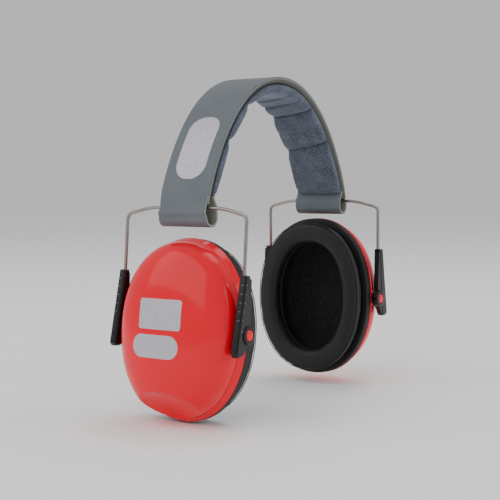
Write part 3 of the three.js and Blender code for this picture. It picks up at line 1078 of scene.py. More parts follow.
def dress(piece: Thing, *finishes: Finish) -> Thing:
    """Gives a piece its finishes, one to a material slot.

    Args:
        piece: The piece to dress.
        finishes: Its finishes, in the order of its slots.

    Returns:
        The same piece.
    """
    for finish in finishes:
        piece.data.materials.append(finish.material())
    return piece


def reshape(piece: Thing, change: Callable[[Vector], Vector]) -> Thing:
    """Moves every vertex by a rule, as with a sculpting brush.

    Args:
        piece: The piece to change.
        change: Gives the new place of a place.

    Returns:
        The same piece.
    """
    for vertex in piece.data.vertices:
        vertex.co = change(vertex.co.copy())
    piece.data.update()
    return piece


@dataclass(frozen=True)
class Inflation:
    """A short cloth simulation that puffs a padded piece, in metres."""

    voxel: float
    cap: float
    pressure: float
    stiffness: float = 12.0
    bending: float = 0.6
    mass: float = 0.2
    quality: int = 6
    frames: int = 20
    levels: int = 2
    relax: int = 4

    def run(self, piece: Thing, held: Callable[[Vector], float]) -> Thing:
        """Remeshes the piece, lets it swell, caps the swelling and refines it.

        Args:
            piece: The closed starting shape.
            held: How firmly a place is pinned, 0 to 1.

        Returns:
            The puffed piece, with no modifier left on it.
        """
        Bench.take(piece)
        piece.data.remesh_voxel_size = self.voxel
        bpy.ops.object.voxel_remesh()
        self._swell(piece, held)
        Bench.modify(piece, "SMOOTH", factor=0.5, iterations=self.relax)
        Bench.modify(piece, "SUBSURF", levels=self.levels, render_levels=self.levels)
        return Bench.smooth(piece, 80)

    def _swell(self, piece: Thing, held: Callable[[Vector], float]) -> None:
        """Runs the cloth, applies it and caps how far each point moved.

        Args:
            piece: The remeshed piece.
            held: How firmly a place is pinned, 0 to 1.
        """
        rest = np.array([v.co[:] for v in piece.data.vertices])
        pins = piece.vertex_groups.new(name="held")
        for vertex in piece.data.vertices:
            weight = held(vertex.co)
            if weight > 0:
                pins.add([vertex.index], weight, "REPLACE")
        cloth = piece.modifiers.new("Cloth", "CLOTH")
        cloth.settings.quality = self.quality
        cloth.settings.mass = self.mass
        for name in ("tension", "compression", "shear"):
            setattr(cloth.settings, f"{name}_stiffness", self.stiffness)
        cloth.settings.bending_stiffness = self.bending
        cloth.settings.use_pressure = True
        cloth.settings.uniform_pressure_force = self.pressure
        cloth.settings.effector_weights.gravity = 0.0
        cloth.settings.vertex_group_mass = pins.name
        cloth.collision_settings.use_collision = False
        cloth.point_cache.frame_start = 1
        cloth.point_cache.frame_end = self.frames
        scene = bpy.context.scene
        for number in range(1, self.frames + 1):
            scene.frame_set(number)
        Bench.take(piece)
        bpy.ops.object.modifier_apply(modifier=cloth.name)
        scene.frame_set(1)
        grown = np.array([v.co[:] for v in piece.data.vertices])
        shift = grown - rest
        length = np.linalg.norm(shift, axis=1, keepdims=True)
        shift *= np.minimum(1.0, self.cap / np.maximum(length, 1e-9))
        for vertex, place in zip(piece.data.vertices, rest + shift):
            vertex.co = place
        LOG.info("%s swelled by up to %.1f mm", piece.name, float(length.max()) / MM)
        piece.vertex_groups.clear()


# Places taken from the frame


@dataclass(frozen=True)
class Course:
    """A line in the XZ plane that a flat strip can be laid along, in metres."""

    points: np.ndarray
    start: float

    @property
    def lengths(self) -> np.ndarray:
        """Distance of each point along the line."""
        steps = np.linalg.norm(np.diff(self.points, axis=0), axis=1)
        return self.start + np.concatenate([[0.0], np.cumsum(steps)])

    def frame_at(self, along: float, lengths: np.ndarray) -> tuple[np.ndarray, np.ndarray]:
        """Finds a place on the line.

        Args:
            along: The distance along the line.
            lengths: The line's own lengths, measured once.

        Returns:
            The point and the outward normal there.
        """
        reach = 0.4 * MM  # how far each way the slope is taken
        here = [np.interp(along, lengths, self.points[:, k]) for k in (0, 1)]
        ahead = [np.interp(along + reach, lengths, self.points[:, k]) for k in (0, 1)]
        behind = [np.interp(along - reach, lengths, self.points[:, k]) for k in (0, 1)]
        way = np.array(ahead) - np.array(behind)
        way /= max(np.linalg.norm(way), 1e-12)
        return np.array(here), np.array([-way[1], way[0]])

    def lay(self, piece: Thing, depth: float = 0.0) -> Thing:
        """Bends a flat strip onto the line.

        Args:
            piece: The strip, X along, Z up from its outer face.
            depth: How far its outer face lies under the line.

        Returns:
            The bent strip.
        """
        lengths = self.lengths

        def onto(place: Vector) -> Vector:
            """Moves one place from the flat onto the line.

            Args:
                place: A place on the flat strip.

            Returns:
                The place on the line.
            """
            point, normal = self.frame_at(place.x, lengths)
            x, z = point + normal * (place.z - depth)
            return Vector((x, place.y, z))

        return reshape(piece, onto)


class Side(Enum):
    """The two sides, as seen from the front, with the sign of their X."""

    LEFT = -1
    RIGHT = 1

    @property
    def word(self) -> str:
        """The side's name in nodes, bodies and joints."""
        return self.name.lower()


class SidePlaces:
    """Where a side's crossbar, legs and pins are, read from the joints."""

    def __init__(self, side: Side) -> None:
        """Reads the joints and the seal of one side.

        Args:
            side: The side to read.
        """
        joints = {joint["name"]: joint for joint in frame["joints"]}
        mounts = {mount["name"]: mount for mount in frame["record"]["mounts"]}
        self.side = side
        self.crossbar = Vector(joints[f"{side.word}_fold"]["pos_m"])
        self.pin = Vector(joints[f"{side.word}_tilt"]["pos_m"])
        slide = Vector(joints[f"{side.word}_height"]["axis"]).normalized()
        self.leg_up = slide if slide.z > 0 else -slide
        self.cup_out = -Vector(mounts[f"{side.word}_seal"]["axis"]).normalized()

    def _matrix(self, origin: Vector, out: Vector) -> Matrix:
        """Makes a frame with X outward from the head and Z up.

        Args:
            origin: The frame's origin.
            out: Its X direction.

        Returns:
            The frame's matrix.
        """
        across = Vector((0, self.side.value, 0))
        up = out.cross(across)
        matrix = Matrix((out, across, up)).transposed().to_4x4()
        matrix.translation = origin
        return matrix

    @property
    def bail(self) -> Matrix:
        """The wire's frame: origin on the crossbar."""
        out = Vector((0, self.side.value, 0)).cross(self.leg_up)
        return self._matrix(self.crossbar, out)

    @property
    def cup(self) -> Matrix:
        """The cup's frame: origin midway between the pins."""
        return self._matrix(self.pin, self.cup_out)

    def slider(self, pin_offset: float) -> Matrix:
        """The sliders' frame: level with the pins, on the legs.

        Args:
            pin_offset: From the legs to the pins, outward, in metres.

        Returns:
            The sliders' matrix.
        """
        matrix = self.bail
        matrix.translation = self.pin + self.bail.to_3x3() @ Vector((pin_offset, 0, 0))
        return matrix


# Sub-assemblies


@dataclass
class Band:
    """The headband: cover sheet with its loops, side wall, piping and quilted pad. Sizes in mm."""

    half_span: float = 80.8
    rise: float = 77.8
    crown_handle: float = 0.58
    flank_handle: float = 0.375
    end_lean: float = 8.2
    thickness: float = 4.6
    width: float = 34.0
    sheet: float = 1.2
    loop_radius: float = 5.5
    loop_bulge: float = 1.1
    hem_rise: float = 7.2
    wall_rise: float = 2.7
    ply_lean: float = 3.0
    flank_depth: float = 2.7
    flank_width: float = 2.8
    pad_width: float = 33.2
    pad_depth: float = 6.3
    pad_seam_depth: float = 3.2
    seam_slant: float = 0.2
    seams: tuple[float, ...] = (-76.5, -45.0, 45.0, 75.5)
    # Each fold's place along the band, its lean and its depth.
    folds: tuple[tuple[float, float, float], ...] = (
        (-58, -0.25, 0.7),
        (-32, -0.3, 1.2),
        (-15, -0.15, 1.0),
        (17, 0.35, 1.5),
        (30, 0.3, 1.7),
        (60, 0.1, 0.5),
    )
    fold_width: float = 1.5
    pad_crown: float = 0.3  # share of its depth that the pad loses at its edges
    seat_gap: float = 0.35
    stitch_inset: float = 3.2
    stitch_pitch: float = 2.5
    stitches_each_way: int = 5
    piping_radius: float = 0.36
    piping_depth: float = 1.25
    piping_inset: float = 0.2
    panel_size: tuple[float, float] = (42.0, 21.0)
    panel_corner: float = 9.5
    panel_along: float = -82.0
    arch_steps: int = 160

    def __post_init__(self) -> None:
        """Reads the crown and crossbar levels from the frame."""
        self.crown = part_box("headband_cover")[1].z / MM
        self.level = self.crown - self.rise
        self.drops = {Side.LEFT: 11.0, Side.RIGHT: 8.8}
        self.arch = self._arch()

    def _half(self, share: float) -> np.ndarray:
        """A point of the right half of the arch, share 0 at the crown, in mm.

        Args:
            share: How far along the half, 0 at the crown and 1 at the crossbar.

        Returns:
            X and Z of the point, in mm.
        """
        rest = 1 - share
        corners = np.array(
            [
                (0, self.crown),
                (self.half_span * self.crown_handle, self.crown),
                (self.half_span - self.end_lean, self.level + self.rise * self.flank_handle),
                (self.half_span, self.level),
            ]
        )
        weights = np.array([rest**3, 3 * share * rest**2, 3 * share**2 * rest, share**3])
        return weights @ corners

    def _arch(self) -> Course:
        """The outer line of the arch from crossbar to crossbar, 0 at the crown.

        Returns:
            The line, in metres.
        """
        steps = self.arch_steps
        right = np.array([self._half(i / steps) for i in range(steps + 1)])
        left = right[:0:-1] * np.array([-1, 1])
        points = np.concatenate([left, right]) * MM
        return Course(points, -run_length(right) * MM)

    def _reach_at(self, height: float) -> float:
        """How far along the arch from the crown a height is, both in metres."""
        lengths = self.arch.lengths[self.arch_steps :]
        return float(np.interp(-height, -self.arch.points[self.arch_steps :, 1], lengths))

    def _ripple(self, place: Vector) -> float:
        """The slow unevenness of the cover at a place in the flat, in metres."""
        return 0.18 * MM * noise.noise(Vector((place.x * 28, place.y * 40, 3.1)))

    def _loop(self, side: Side) -> np.ndarray:
        """Draws a loop's outer line on the right half of the band.

        Args:
            side: The side that the loop is for.

        Returns:
            X and Z of its points from the crossbar level round to its inner hem, in mm.
        """
        reach, radius = self.half_span, self.loop_radius
        bottom = self.level - self.drops[side] + radius
        points = []
        for i in range(1, 12):
            share = i / 12
            bulge = self.loop_bulge * math.sin(math.pi * share) ** 2
            z = self.level + (bottom - self.level) * share
            points.append((reach + bulge, z))
        for i in range(17):
            angle = -math.pi * i / 16
            x = reach - radius + radius * math.cos(angle)
            points.append((x, bottom + radius * math.sin(angle)))
        top = self.level + self.hem_rise - 0.5
        for i in range(1, 13):
            z = bottom + (top - bottom) * i / 12
            lean = self.ply_lean * smoothstep(z, self.level - 1, top)
            points.append((reach - 2 * radius + lean, z))
        return np.array(points)

    def _sheet_course(self) -> Course:
        """The cover sheet's whole line: loop, arch, loop.

        Returns:
            The line, in metres.
        """
        left = self._loop(Side.LEFT)[::-1] * np.array([-1, 1]) * MM
        right = self._loop(Side.RIGHT) * MM
        points = np.concatenate([left, self.arch.points, right])
        before = np.concatenate([left, self.arch.points[:1]])
        return Course(points, self.arch.start - run_length(before))

    def cover(self) -> list[Thing]:
        """The coated sheet that goes over the band and round both crossbars.

        Returns:
            The sheet.
        """
        course = self._sheet_course()
        lengths = course.lengths
        first, last = float(lengths[0]), float(lengths[-1])
        size = (last - first, self.width * MM, self.sheet * MM)
        sheet = Bench.strip("band_cover_sheet", size, (420, 10), 0.5 * MM)
        middle = (first + last) / 2
        end = float(self.arch.lengths[-1])
        width = self.width * MM / 2

        def soften(place: Vector) -> Vector:
            """Adds the hand-made unevenness of the sheet and pinches it at the crossbars.

            Args:
                place: A place on the flat sheet.

            Returns:
                The moved place.
            """
            place.x += middle
            past = abs(place.x) - end
            near = bump_at(past + 1 * MM, math.sqrt(2) * 3.5 * MM)
            flare = smoothstep(past, 4 * MM, 14 * MM)
            place.y *= 1 - 0.045 * near + 0.02 * flare
            edge = (abs(place.y) / width) ** 2
            place.z += self._ripple(place) - 0.35 * MM * near * edge
            return place

        reshape(sheet, soften)
        course.lay(sheet)
        dress(sheet, VINYL, BACKING)
        self._turn_backing_in(sheet)
        return [sheet]

    def _turn_backing_in(self, sheet: Thing) -> None:
        """Gives the backing to the faces inside the loops and to the sheet's cut edges there.

        Args:
            sheet: The cover sheet, in place.
        """
        limit = (self.level + self.hem_rise - 0.2) * MM
        centre = {side: (self.half_span - self.loop_radius) * side.value * MM for side in Side}
        for face in sheet.data.polygons:
            if face.center.z > limit:
                continue
            side = Side.RIGHT if face.center.x > 0 else Side.LEFT
            bottom = (self.level - self.drops[side] + self.loop_radius) * MM
            to_middle = Vector((centre[side], face.center.y, max(face.center.z, bottom)))
            inward = (to_middle - face.center).normalized()
            if face.normal.dot(inward) > 0.5 or abs(face.normal.y) > 0.8:
                face.material_index = 1

    def wall(self) -> list[Thing]:
        """The sleeve's side wall and inner layer, coloured darker as painted shade, and the piping along both
        edges, pale as a painted highlight.

        Returns:
            The wall and the two pipings.
        """
        lengths = self.arch.lengths
        reach = self._reach_at((self.level + self.wall_rise) * MM)
        depth = self.sheet * 0.7
        size = (2 * reach, (self.width - 0.3) * MM, (self.thickness - depth) * MM)
        body = Bench.strip("band_side_wall", size, (220, 12), 0.8 * MM)
        slim = (self.flank_depth - depth) / (self.thickness - depth)

        def thin_flanks(place: Vector) -> Vector:
            """Thins the wall towards both edges, where the pad wraps over it.

            Args:
                place: A place on the flat wall.

            Returns:
                The moved place.
            """
            share = abs(place.y) / MM - (self.width / 2 - self.flank_width - 0.15)
            share = min(max(share / self.flank_width, 0), 1)
            place.z *= 1 - share * (1 - slim)
            return place

        reshape(body, thin_flanks)
        self.arch.lay(body, depth * MM)
        # The side wall's darker colour is painted shade on the band's sides.
        made = [dress(body, SHADED_SIDE_VINYL)]
        for word, way in (("front", -1), ("rear", 1)):
            points = []
            for i in range(161):
                along = reach * (i / 80 - 1)
                point, normal = self.arch.frame_at(along, lengths)
                x, z = point - normal * self.piping_depth * MM
                points.append(Vector((x, way * (self.width / 2 - self.piping_inset) * MM, z)))
            piping = Bench.rod(f"band_piping_{word}", points, self.piping_radius * MM, 2)
            # The piping's pale colour is a painted highlight along the band's rounded edges.
            made.append(dress(piping, PIPING_PAINTED_HIGHLIGHT))
        return made

    def _slanted(self, along: float, across: float) -> float:
        """Where a place lies along the band, measured on the slanted seams."""
        slant = self.seam_slant * smoothstep(self.pad_reach - abs(along), 6, 22)
        return along - slant * across * math.copysign(smoothstep(abs(along), 5, 30), along)

    def _crown(self, share: float) -> float:
        """The share of its depth that the pad keeps, from 1 in the middle, at a share across."""
        return 1 - self.pad_crown * share**4

    def _seam_share(self, along: float, across: float) -> float:
        """Finds how far a place is from the nearest seam or hem.

        Args:
            along: Its place along the band.
            across: Its place across the band.

        Returns:
            0 at a seam or hem, 1 in the middle of a puff.
        """
        along = self._slanted(along, across)
        lines = (-self.pad_reach, *self.seams, self.pad_reach)
        for low, high in zip(lines, lines[1:]):
            if low <= along <= high:
                share = (along - low) / (high - low)
                return max(math.sin(math.pi * share), 0.0)
        return 0.0

    def pad(self) -> list[Thing]:
        """The quilted pad: drawn, then lightly puffed by cloth in the flat, and laid on the arch.

        Returns:
            The pad and its stitches.
        """
        self.pad_reach = self._reach_at((self.level + self.hem_rise) * MM) / MM
        seat = self.thickness + self.seat_gap
        size = (2 * self.pad_reach * MM, (self.pad_width - 2) * MM, self.pad_depth * MM)
        pad = Bench.strip("quilted_pad", size, (150, 12))
        wrap = (seat - self.flank_depth - 0.3) * MM

        def start(place: Vector) -> Vector:
            """Crowns the flat pad, thins it at its seams and wraps it over the wall.

            Args:
                place: A place on the flat pad.

            Returns:
                The moved place.
            """
            crown = self._crown(abs(place.y) / (self.pad_width * MM / 2))
            share = self._seam_share(place.x / MM, place.y / MM) ** 0.5
            deep = (self.pad_seam_depth + (self.pad_depth - self.pad_seam_depth) * share) * MM
            down = -place.z / (self.pad_depth * MM)
            over = abs(place.y) / MM - (self.width / 2 - self.flank_width - 0.45)
            over = min(max(over / self.flank_width, 0), 1)
            place.z = -down * deep * crown + wrap * over * (1 - down)
            return place

        def held(place: Vector) -> float:
            """Pins the back of the pad and its seams.

            Args:
                place: A place on the flat pad.

            Returns:
                How firmly it is pinned, 0 to 1.
            """
            if place.z > -0.9 * MM:
                return 1.0
            along = self._slanted(place.x / MM, place.y / MM)
            near = min(abs(along - s) for s in (*self.seams, -self.pad_reach, self.pad_reach))
            return 1.0 if near < 1.4 else 0.0

        reshape(pad, start)
        Inflation(voxel=2.2 * MM, cap=2.4 * MM, pressure=6.0).run(pad, held)
        widest = max(abs(v.co.y) for v in pad.data.vertices) / (self.pad_width * MM / 2)
        reshape(pad, lambda place: Vector((place.x, place.y / widest, place.z)))
        reshape(pad, self._quilted)
        self.arch.lay(pad, seat * MM)
        return [dress(pad, VELOUR), *self._stitches(seat)]

    def _quilted(self, place: Vector) -> Vector:
        """Draws the seams, the hem and the soft folds into the flat pad.

        Args:
            place: A place on the puffed, flat pad.

        Returns:
            The moved place.
        """
        along, across = place.x / MM, place.y / MM
        share_down = smoothstep(-place.z / MM, 0.4, 2.6)
        slant = self._slanted(along, across)
        for seam in self.seams:
            gap = slant - seam
            sharp, broad = bump_at(gap, 0.7), bump_at(gap, 3.4)
            place.z += share_down * (1.5 * sharp + 0.8 * broad) * MM
            place.y *= 1 - share_down * (0.03 * broad + 0.02 * sharp)
        stitch = abs(abs(along) - (self.pad_reach - self.stitch_inset))
        place.z += share_down * 0.75 * bump_at(stitch, 0.7) * MM
        for centre, lean, depth in self.folds:
            gap = along - centre - lean * across
            fade = 0.35 + 0.65 * smoothstep(across, -14, 6)
            place.z += share_down * fade * depth * bump_at(gap, self.fold_width) * MM
        soft = noise.noise(Vector((along * 0.09, across * 0.12, 7.7)))
        fine = noise.noise(Vector((along * 0.35, across * 0.3, 1.7)))
        place.z += share_down * (0.35 * soft + 0.1 * fine) * MM
        return place

    def _stitches(self, seat: float) -> list[Thing]:
        """Sews a row of stitches across each hem.

        Args:
            seat: How far the pad's back lies under the arch's outer line.

        Returns:
            The two rows.
        """
        sphere = bpy.ops.mesh.primitive_uv_sphere_add
        single = Bench.fresh("stitch", sphere, segments=8, ring_count=6, radius=1)
        single.scale = (0.22 * MM, 0.85 * MM, 0.22 * MM)
        Bench.freeze(single)
        made = []
        lengths = self.arch.lengths
        count = self.stitches_each_way
        for side in Side:
            along = side.value * (self.pad_reach - self.stitch_inset) * MM
            point, normal = self.arch.frame_at(along, lengths)
            row = []
            for i in range(-count, count + 1):
                across = i * self.stitch_pitch
                crown = self._crown(abs(across) / (self.pad_width / 2))
                depth = (seat + (self.pad_seam_depth - 0.15) * crown) * MM
                x, z = point - normal * depth
                where = Matrix.Translation((x, across * MM, z))
                row.append(Bench.placed_copy(single, "stitch_copy", where))
            piece = Bench.gather(row[0], row[1:])
            piece.name = piece.data.name = f"{side.word}_hem_stitches"
            Bench.smooth(piece, 80)
            made.append(dress(piece, THREAD))
        Bench.discard(single)
        return made

    def print_panel(self) -> list[Thing]:
        """A blank silver panel on the left flank of the cover.

        Returns:
            The panel.
        """
        length, width = (side * MM for side in self.panel_size)
        panel = Bench.strip("band_silver_panel", (length, width, 0.1 * MM), (60, 30))

        def rounded(place: Vector) -> Vector:
            """Rounds the panel's ends and gives it the cover's own ripple.

            Args:
                place: A place on the flat panel.

            Returns:
                The moved place.
            """
            place = round_corner(place, length / 2, width / 2, self.panel_corner * MM)
            place.x += self.panel_along * MM
            place.z += self._ripple(place)
            return place

        reshape(panel, rounded)
        self.arch.lay(panel, -0.16 * MM)
        return [dress(panel, SILVER)]

    def build(self) -> None:
        """Makes the headband's pieces and fixes them to the headband."""
        cover, wall, pad = self.cover(), self.wall(), self.pad()
        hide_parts("headband_cover")
        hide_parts("headband_pad")
        for piece in (*cover, *wall, *self.print_panel()):
            settle(piece, "headband", "vinyl")
        for piece in pad:
            settle(piece, "headband", "velour")
        dress_node("headband_filler", BLACK_FOAM)
        dress_node("headband_spring", STRIP_METAL)
        for side in Side:
            dress_node(f"{side.word}_hinge_bracket", STRIP_METAL)
            dress_node(f"{side.word}_bracket_rivet_1", STRIP_METAL)
            dress_node(f"{side.word}_bracket_rivet_2", STRIP_METAL)


def round_corner(place: Vector, half_x: float, half_y: float, radius: float) -> Vector:
    """Pulls the corners of a flat panel in onto arcs.

    Args:
        place: A place on the panel.
        half_x: Half its length.
        half_y: Half its width.
        radius: The corners' radius.

    Returns:
        The moved place.
    """
    over = Vector((abs(place.x) - (half_x - radius), abs(place.y) - (half_y - radius)))
    if over.x > 0 and over.y > 0:
        box = max(over.x, over.y)
        over = over * (box / over.length)
        place.x = math.copysign(half_x - radius + over.x, place.x)
        place.y = math.copysign(half_y - radius + over.y, place.y)
    return place


@dataclass
class Bail:
    """A side's wire bail. Sizes in mm, in the side's own frame."""

    radius: float = 1.0
    crossbar_half: float = 25.8
    shoulder_drop: float = 4.15
    leg_half: float = 42.2
    leg_length: float = 54.3
    shoulder_bend: float = 7.0
    leg_bend: float = 3.4

    def _bend(self, before: Vector, corner: Vector, after: Vector, reach: float) -> list[Vector]:
        """Rounds a corner of the wire.

        Args:
            before: The corner before it.
            corner: The corner.
            after: The corner after it.
            reach: How far from the corner the bend starts.

        Returns:
            The points of the bend.
        """
        start = corner + (before - corner).normalized() * reach
        end = corner + (after - corner).normalized() * reach
        shares = [i / 12 for i in range(13)]
        return [start * (1 - s) ** 2 + corner * (2 * s * (1 - s)) + end * s * s for s in shares]

    def build(self) -> None:
        """Bends a wire for each side."""
        for side in Side:
            foot, leg, shoulder = (
                {end: Vector((0, end * y, z)) for end in (-1, 1)}
                for y, z in (
                    (self.leg_half, -self.shoulder_drop - self.leg_length),
                    (self.leg_half, -self.shoulder_drop),
                    (self.crossbar_half, 0),
                )
            )
            points = [
                foot[-1],
                *self._bend(foot[-1], leg[-1], shoulder[-1], self.leg_bend),
                *self._bend(leg[-1], shoulder[-1], shoulder[1], self.shoulder_bend),
                *self._bend(shoulder[-1], shoulder[1], leg[1], self.shoulder_bend),
                *self._bend(shoulder[1], leg[1], foot[1], self.leg_bend),
                foot[1],
            ]
            matrix = SidePlaces(side).bail
            placed = [matrix @ (p * MM) for p in points]
            wire = dress(
                Bench.rod(f"{side.word}_wire", placed, self.radius * MM, 5), WIRE_METAL
            )
            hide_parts(f"{side.word}_wire_bail")
            settle(wire, f"{side.word}_bail", "wire")


@dataclass
class Sliders:
    """The sliders on the legs, with their tick marks. Sizes in mm, in the sliders' frame."""

    leg_half: float = 42.2
    top: float = 32.5
    bottom: float = 12.0
    inside: float = 1.7
    front: float = 3.0
    top_back: float = 2.6
    top_reach: float = 2.1
    bottom_reach: float = 8.4
    bottom_depth: float = 7.4
    chamfer: float = 0.9
    corner: float = 1.6
    ear_radius: float = 5.4
    ear_inside: float = 0.6
    ear_front: float = 3.9
    web_reach: float = 4.6
    pin_offset: float = 2.56
    pin_radius: float = 1.8
    head_radius: float = 3.15
    head_height: float = 1.4
    wire_bore: float = 1.3
    wire_stop: float = 5.4
    boss_radius: float = 4.1
    tick_count: int = 6
    tick_pitch: float = 4.8
    first_tick: float = 5.2
    tick_width: float = 0.42
    tick_relief: float = 0.22
    pin_length: float = 8.0
    pin_dome: float = 0.55
    overrun: float = 2.0  # how far a cutting shape runs past what it cuts

    def _mm(self, outline: Sequence[tuple[float, float]]) -> list[tuple[float, float]]:
        """An outline in metres."""
        return [(x * MM, z * MM) for x, z in outline]

    def _tube(self, at: Callable[[float], float]) -> Thing:
        """Makes the tapered, chamfered tube.

        Args:
            at: Gives Y of a place measured from the leg, away from the cup.

        Returns:
            The tube.
        """
        back = self.bottom_reach - self.bottom_depth
        outline = [
            (-self.top_back, self.top),
            (back, -self.bottom + self.corner),
            (back + self.corner, -self.bottom),
            (self.bottom_reach - self.corner, -self.bottom),
            (self.bottom_reach, -self.bottom + self.corner),
            (self.top_reach, self.top),
        ]
        low, high = sorted((at(-self.inside), at(self.front)))
        tube = Bench.prism("slider_tube", self._mm(outline), low, high)

        def round_a_side(edge: bmesh.types.BMEdge) -> bool:
            """Says whether an edge borders one of the two side faces."""
            return abs(edge.verts[0].co.y - edge.verts[1].co.y) < TOUCH

        with Bench.editing(tube):
            Bench.bevel(tube, round_a_side, self.chamfer * MM, 1)
        return tube

    def _web(self, at: Callable[[float], float]) -> Thing:
        """Makes the web from the tube to the ear.

        Args:
            at: Gives Y of a place measured from the leg, away from the cup.

        Returns:
            The web.
        """
        back = self.bottom_reach - self.bottom_depth
        foot = self.bottom - self.corner
        outline = [
            (0, self.top - 2 * self.chamfer),
            (-self.top_back - self.chamfer, self.top - 2 * self.chamfer),
            (-self.web_reach, self.ear_radius),
            (-self.pin_offset - self.ear_radius + 0.2, 0),
            (back, -foot),
            (back + self.bottom_depth / 2, -foot),
        ]
        low, high = sorted((at(-self.ear_inside), at(self.front - HAIR_GAP)))
        return Bench.prism("slider_web", self._mm(outline), low, high)

    def _ticks(self, end: int, at: Callable[[float], float]) -> list[Thing]:
        """Makes the setting marks on the outward and the outer side faces.

        Args:
            end: Which end of the bail, 1 or -1 along Y.
            at: Gives Y of a place measured from the leg, away from the cup.

        Returns:
            The marks, from the top down.
        """
        made = []
        slope = (self.bottom_reach - self.top_reach) / (self.top + self.bottom - self.corner)
        lean = math.atan(slope)
        relief, width, sunk = self.tick_relief, self.tick_width, 0.02
        middle, flank = (at(offset) / MM for offset in (1.1, self.front - sunk))
        for i in range(self.tick_count):
            z = self.top - self.first_tick - self.tick_pitch * i
            reach = self.top_reach + (self.top - z) * slope
            spots = [
                ((reach - sunk, middle, z), (relief, 1.7, width), 0.0),
                ((reach - 1.6, flank, z), (1.1, relief, width), 0.0),
            ]
            if i == self.tick_count - 1:
                spots = [
                    ((reach - sunk, middle, z - 1), (relief, 2.8, width), 0.5 * end),
                    ((reach - 2.4, flank, z - 1), (2.6, relief, width), 0.0),
                ]
            for place, size, turn in spots:
                tick = Bench.fresh("tick", bpy.ops.mesh.primitive_cube_add, size=1)
                tick.scale = [s * MM for s in size]
                tick.rotation_euler = (turn, -lean, 0)
                tick.location = [p * MM for p in place]
                Bench.freeze(tick)
                Bench.modify(tick, "BEVEL", width=0.06 * MM, segments=1)
                # Light grey as a painted highlight on the marks' edges.
                made.append(dress(tick, TICK_PAINTED_HIGHLIGHT))
        return made

    def _bores(self, body: Thing, at: Callable[[float], float]) -> None:
        """Cuts the wire's channel, the pin's eye and recess, and room for the cup's boss.

        Args:
            body: The slider.
            at: Gives Y of a place measured from the leg, away from the cup.
        """
        channel = Bench.fresh(
            "channel",
            bpy.ops.mesh.primitive_cylinder_add,
            vertices=24,
            radius=self.wire_bore * MM,
            depth=(self.top - self.wire_stop + self.overrun) * MM,
            location=(0, at(0), (self.top + self.wire_stop + self.overrun) / 2 * MM),
        )
        Bench.combine(body, Bench.freeze(channel), Merge.CUT)
        pin_x = -self.pin_offset * MM
        over, front = self.overrun, self.ear_front
        seat = front + HAIR_GAP - self.head_height - HAIR_GAP  # a gap under the head
        for radius, low, high in (
            (self.pin_radius + HAIR_GAP, at(-self.ear_inside - over), at(front)),
            (self.head_radius + HAIR_GAP, at(seat), at(front + over)),
            (self.boss_radius + 2 * HAIR_GAP, at(-self.inside - over), at(-self.ear_inside)),
        ):
            Bench.combine(body, Bench.barrel("bore", radius * MM, low, high, pin_x), Merge.CUT)

    def _template(self, end: int) -> Thing:
        """Makes a slider for the leg at one end of the bail.

        Args:
            end: 1 or -1 along Y.

        Returns:
            The slider, in the sliders' frame.
        """

        def at(offset: float) -> float:
            """Y of a place measured from the leg, away from the cup."""
            return end * (self.leg_half + offset) * MM

        body = self._tube(at)
        Bench.combine(body, self._web(at), Merge.JOIN)
        inside, face = at(-self.ear_inside), at(self.ear_front)
        ear = Bench.barrel("ear", self.ear_radius * MM, inside, face, -self.pin_offset * MM)
        with Bench.editing(ear):
            Bench.bevel(ear, face_edges(face), 0.7 * MM, 3)
        Bench.combine(body, ear, Merge.JOIN)
        self._bores(body, at)
        Bench.clean(body)
        sharp = {"limit_method": "ANGLE", "angle_limit": 0.6}
        Bench.modify(body, "BEVEL", width=0.28 * MM, segments=2, **sharp)
        Bench.smooth(body, 32)
        # The second slot carries the tick marks' painted highlight.
        dress(body, BLACK_SLIDER, TICK_PAINTED_HIGHLIGHT)
        ticks = self._ticks(end, at)
        marks = Bench.gather(ticks[0], ticks[1:])
        Bench.smooth(marks, 30)
        return Bench.gather(body, [marks])

    def _pin(self, end: int) -> Thing:
        """Makes a pivot pin with a low domed head.

        Args:
            end: Which end of the bail, 1 or -1 along Y.

        Returns:
            The pin, in the cup's frame.
        """
        face = self.leg_half + self.ear_front + HAIR_GAP
        seat = face - self.head_height
        tip = self.leg_half - self.ear_inside + HAIR_GAP - self.pin_length
        foot = face - self.pin_dome
        crown = [
            (self.head_radius * math.cos(a), foot + self.pin_dome * math.sin(a))
            for a in quarter(8)
        ]
        crown[-1] = (0.0, face)
        profile = [
            (0.0, tip),
            (self.pin_radius - 0.3, tip),
            (self.pin_radius, tip + 0.3),
            (self.pin_radius, seat),
            (self.head_radius - 0.1, seat),
            (self.head_radius, seat + 0.1),
            *crown,
        ]
        pin = Bench.turned("pivot_pin", [(r * MM, x * MM) for r, x in profile], 48)
        pin.data.transform(Matrix.Rotation(end * math.pi / 2, 4, "Z"))
        return Bench.clean(dress(pin, RED_SHELL), 40)

    def build(self) -> None:
        """Makes both templates and places a copy on every leg."""
        sliders = {end: self._template(end) for end in (-1, 1)}
        pins = {end: self._pin(end) for end in (-1, 1)}
        for side in Side:
            places = SidePlaces(side)
            matrix = places.slider(self.pin_offset * MM)
            for end in (-1, 1):
                where = "front" if end * side.value < 0 else "rear"
                name = f"{side.word}_{where}"
                slider = Bench.placed_copy(sliders[end], f"{name}_slide_block", matrix)
                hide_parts(f"{name}_slider")
                settle(slider, f"{side.word}_sliders", "slider")
                pin = Bench.placed_copy(pins[end], f"{name}_pin_head", places.cup)
                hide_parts(f"{name}_pivot_pin")
                settle(pin, f"{side.word}_cup", "shell")
        Bench.discard(*sliders.values(), *pins.values())


@dataclass
class Template:
    """A finished cup piece, the node that it stands for and its material slot."""

    piece: Thing
    slot: str
    node: str | None = None
    fill: float | None = None


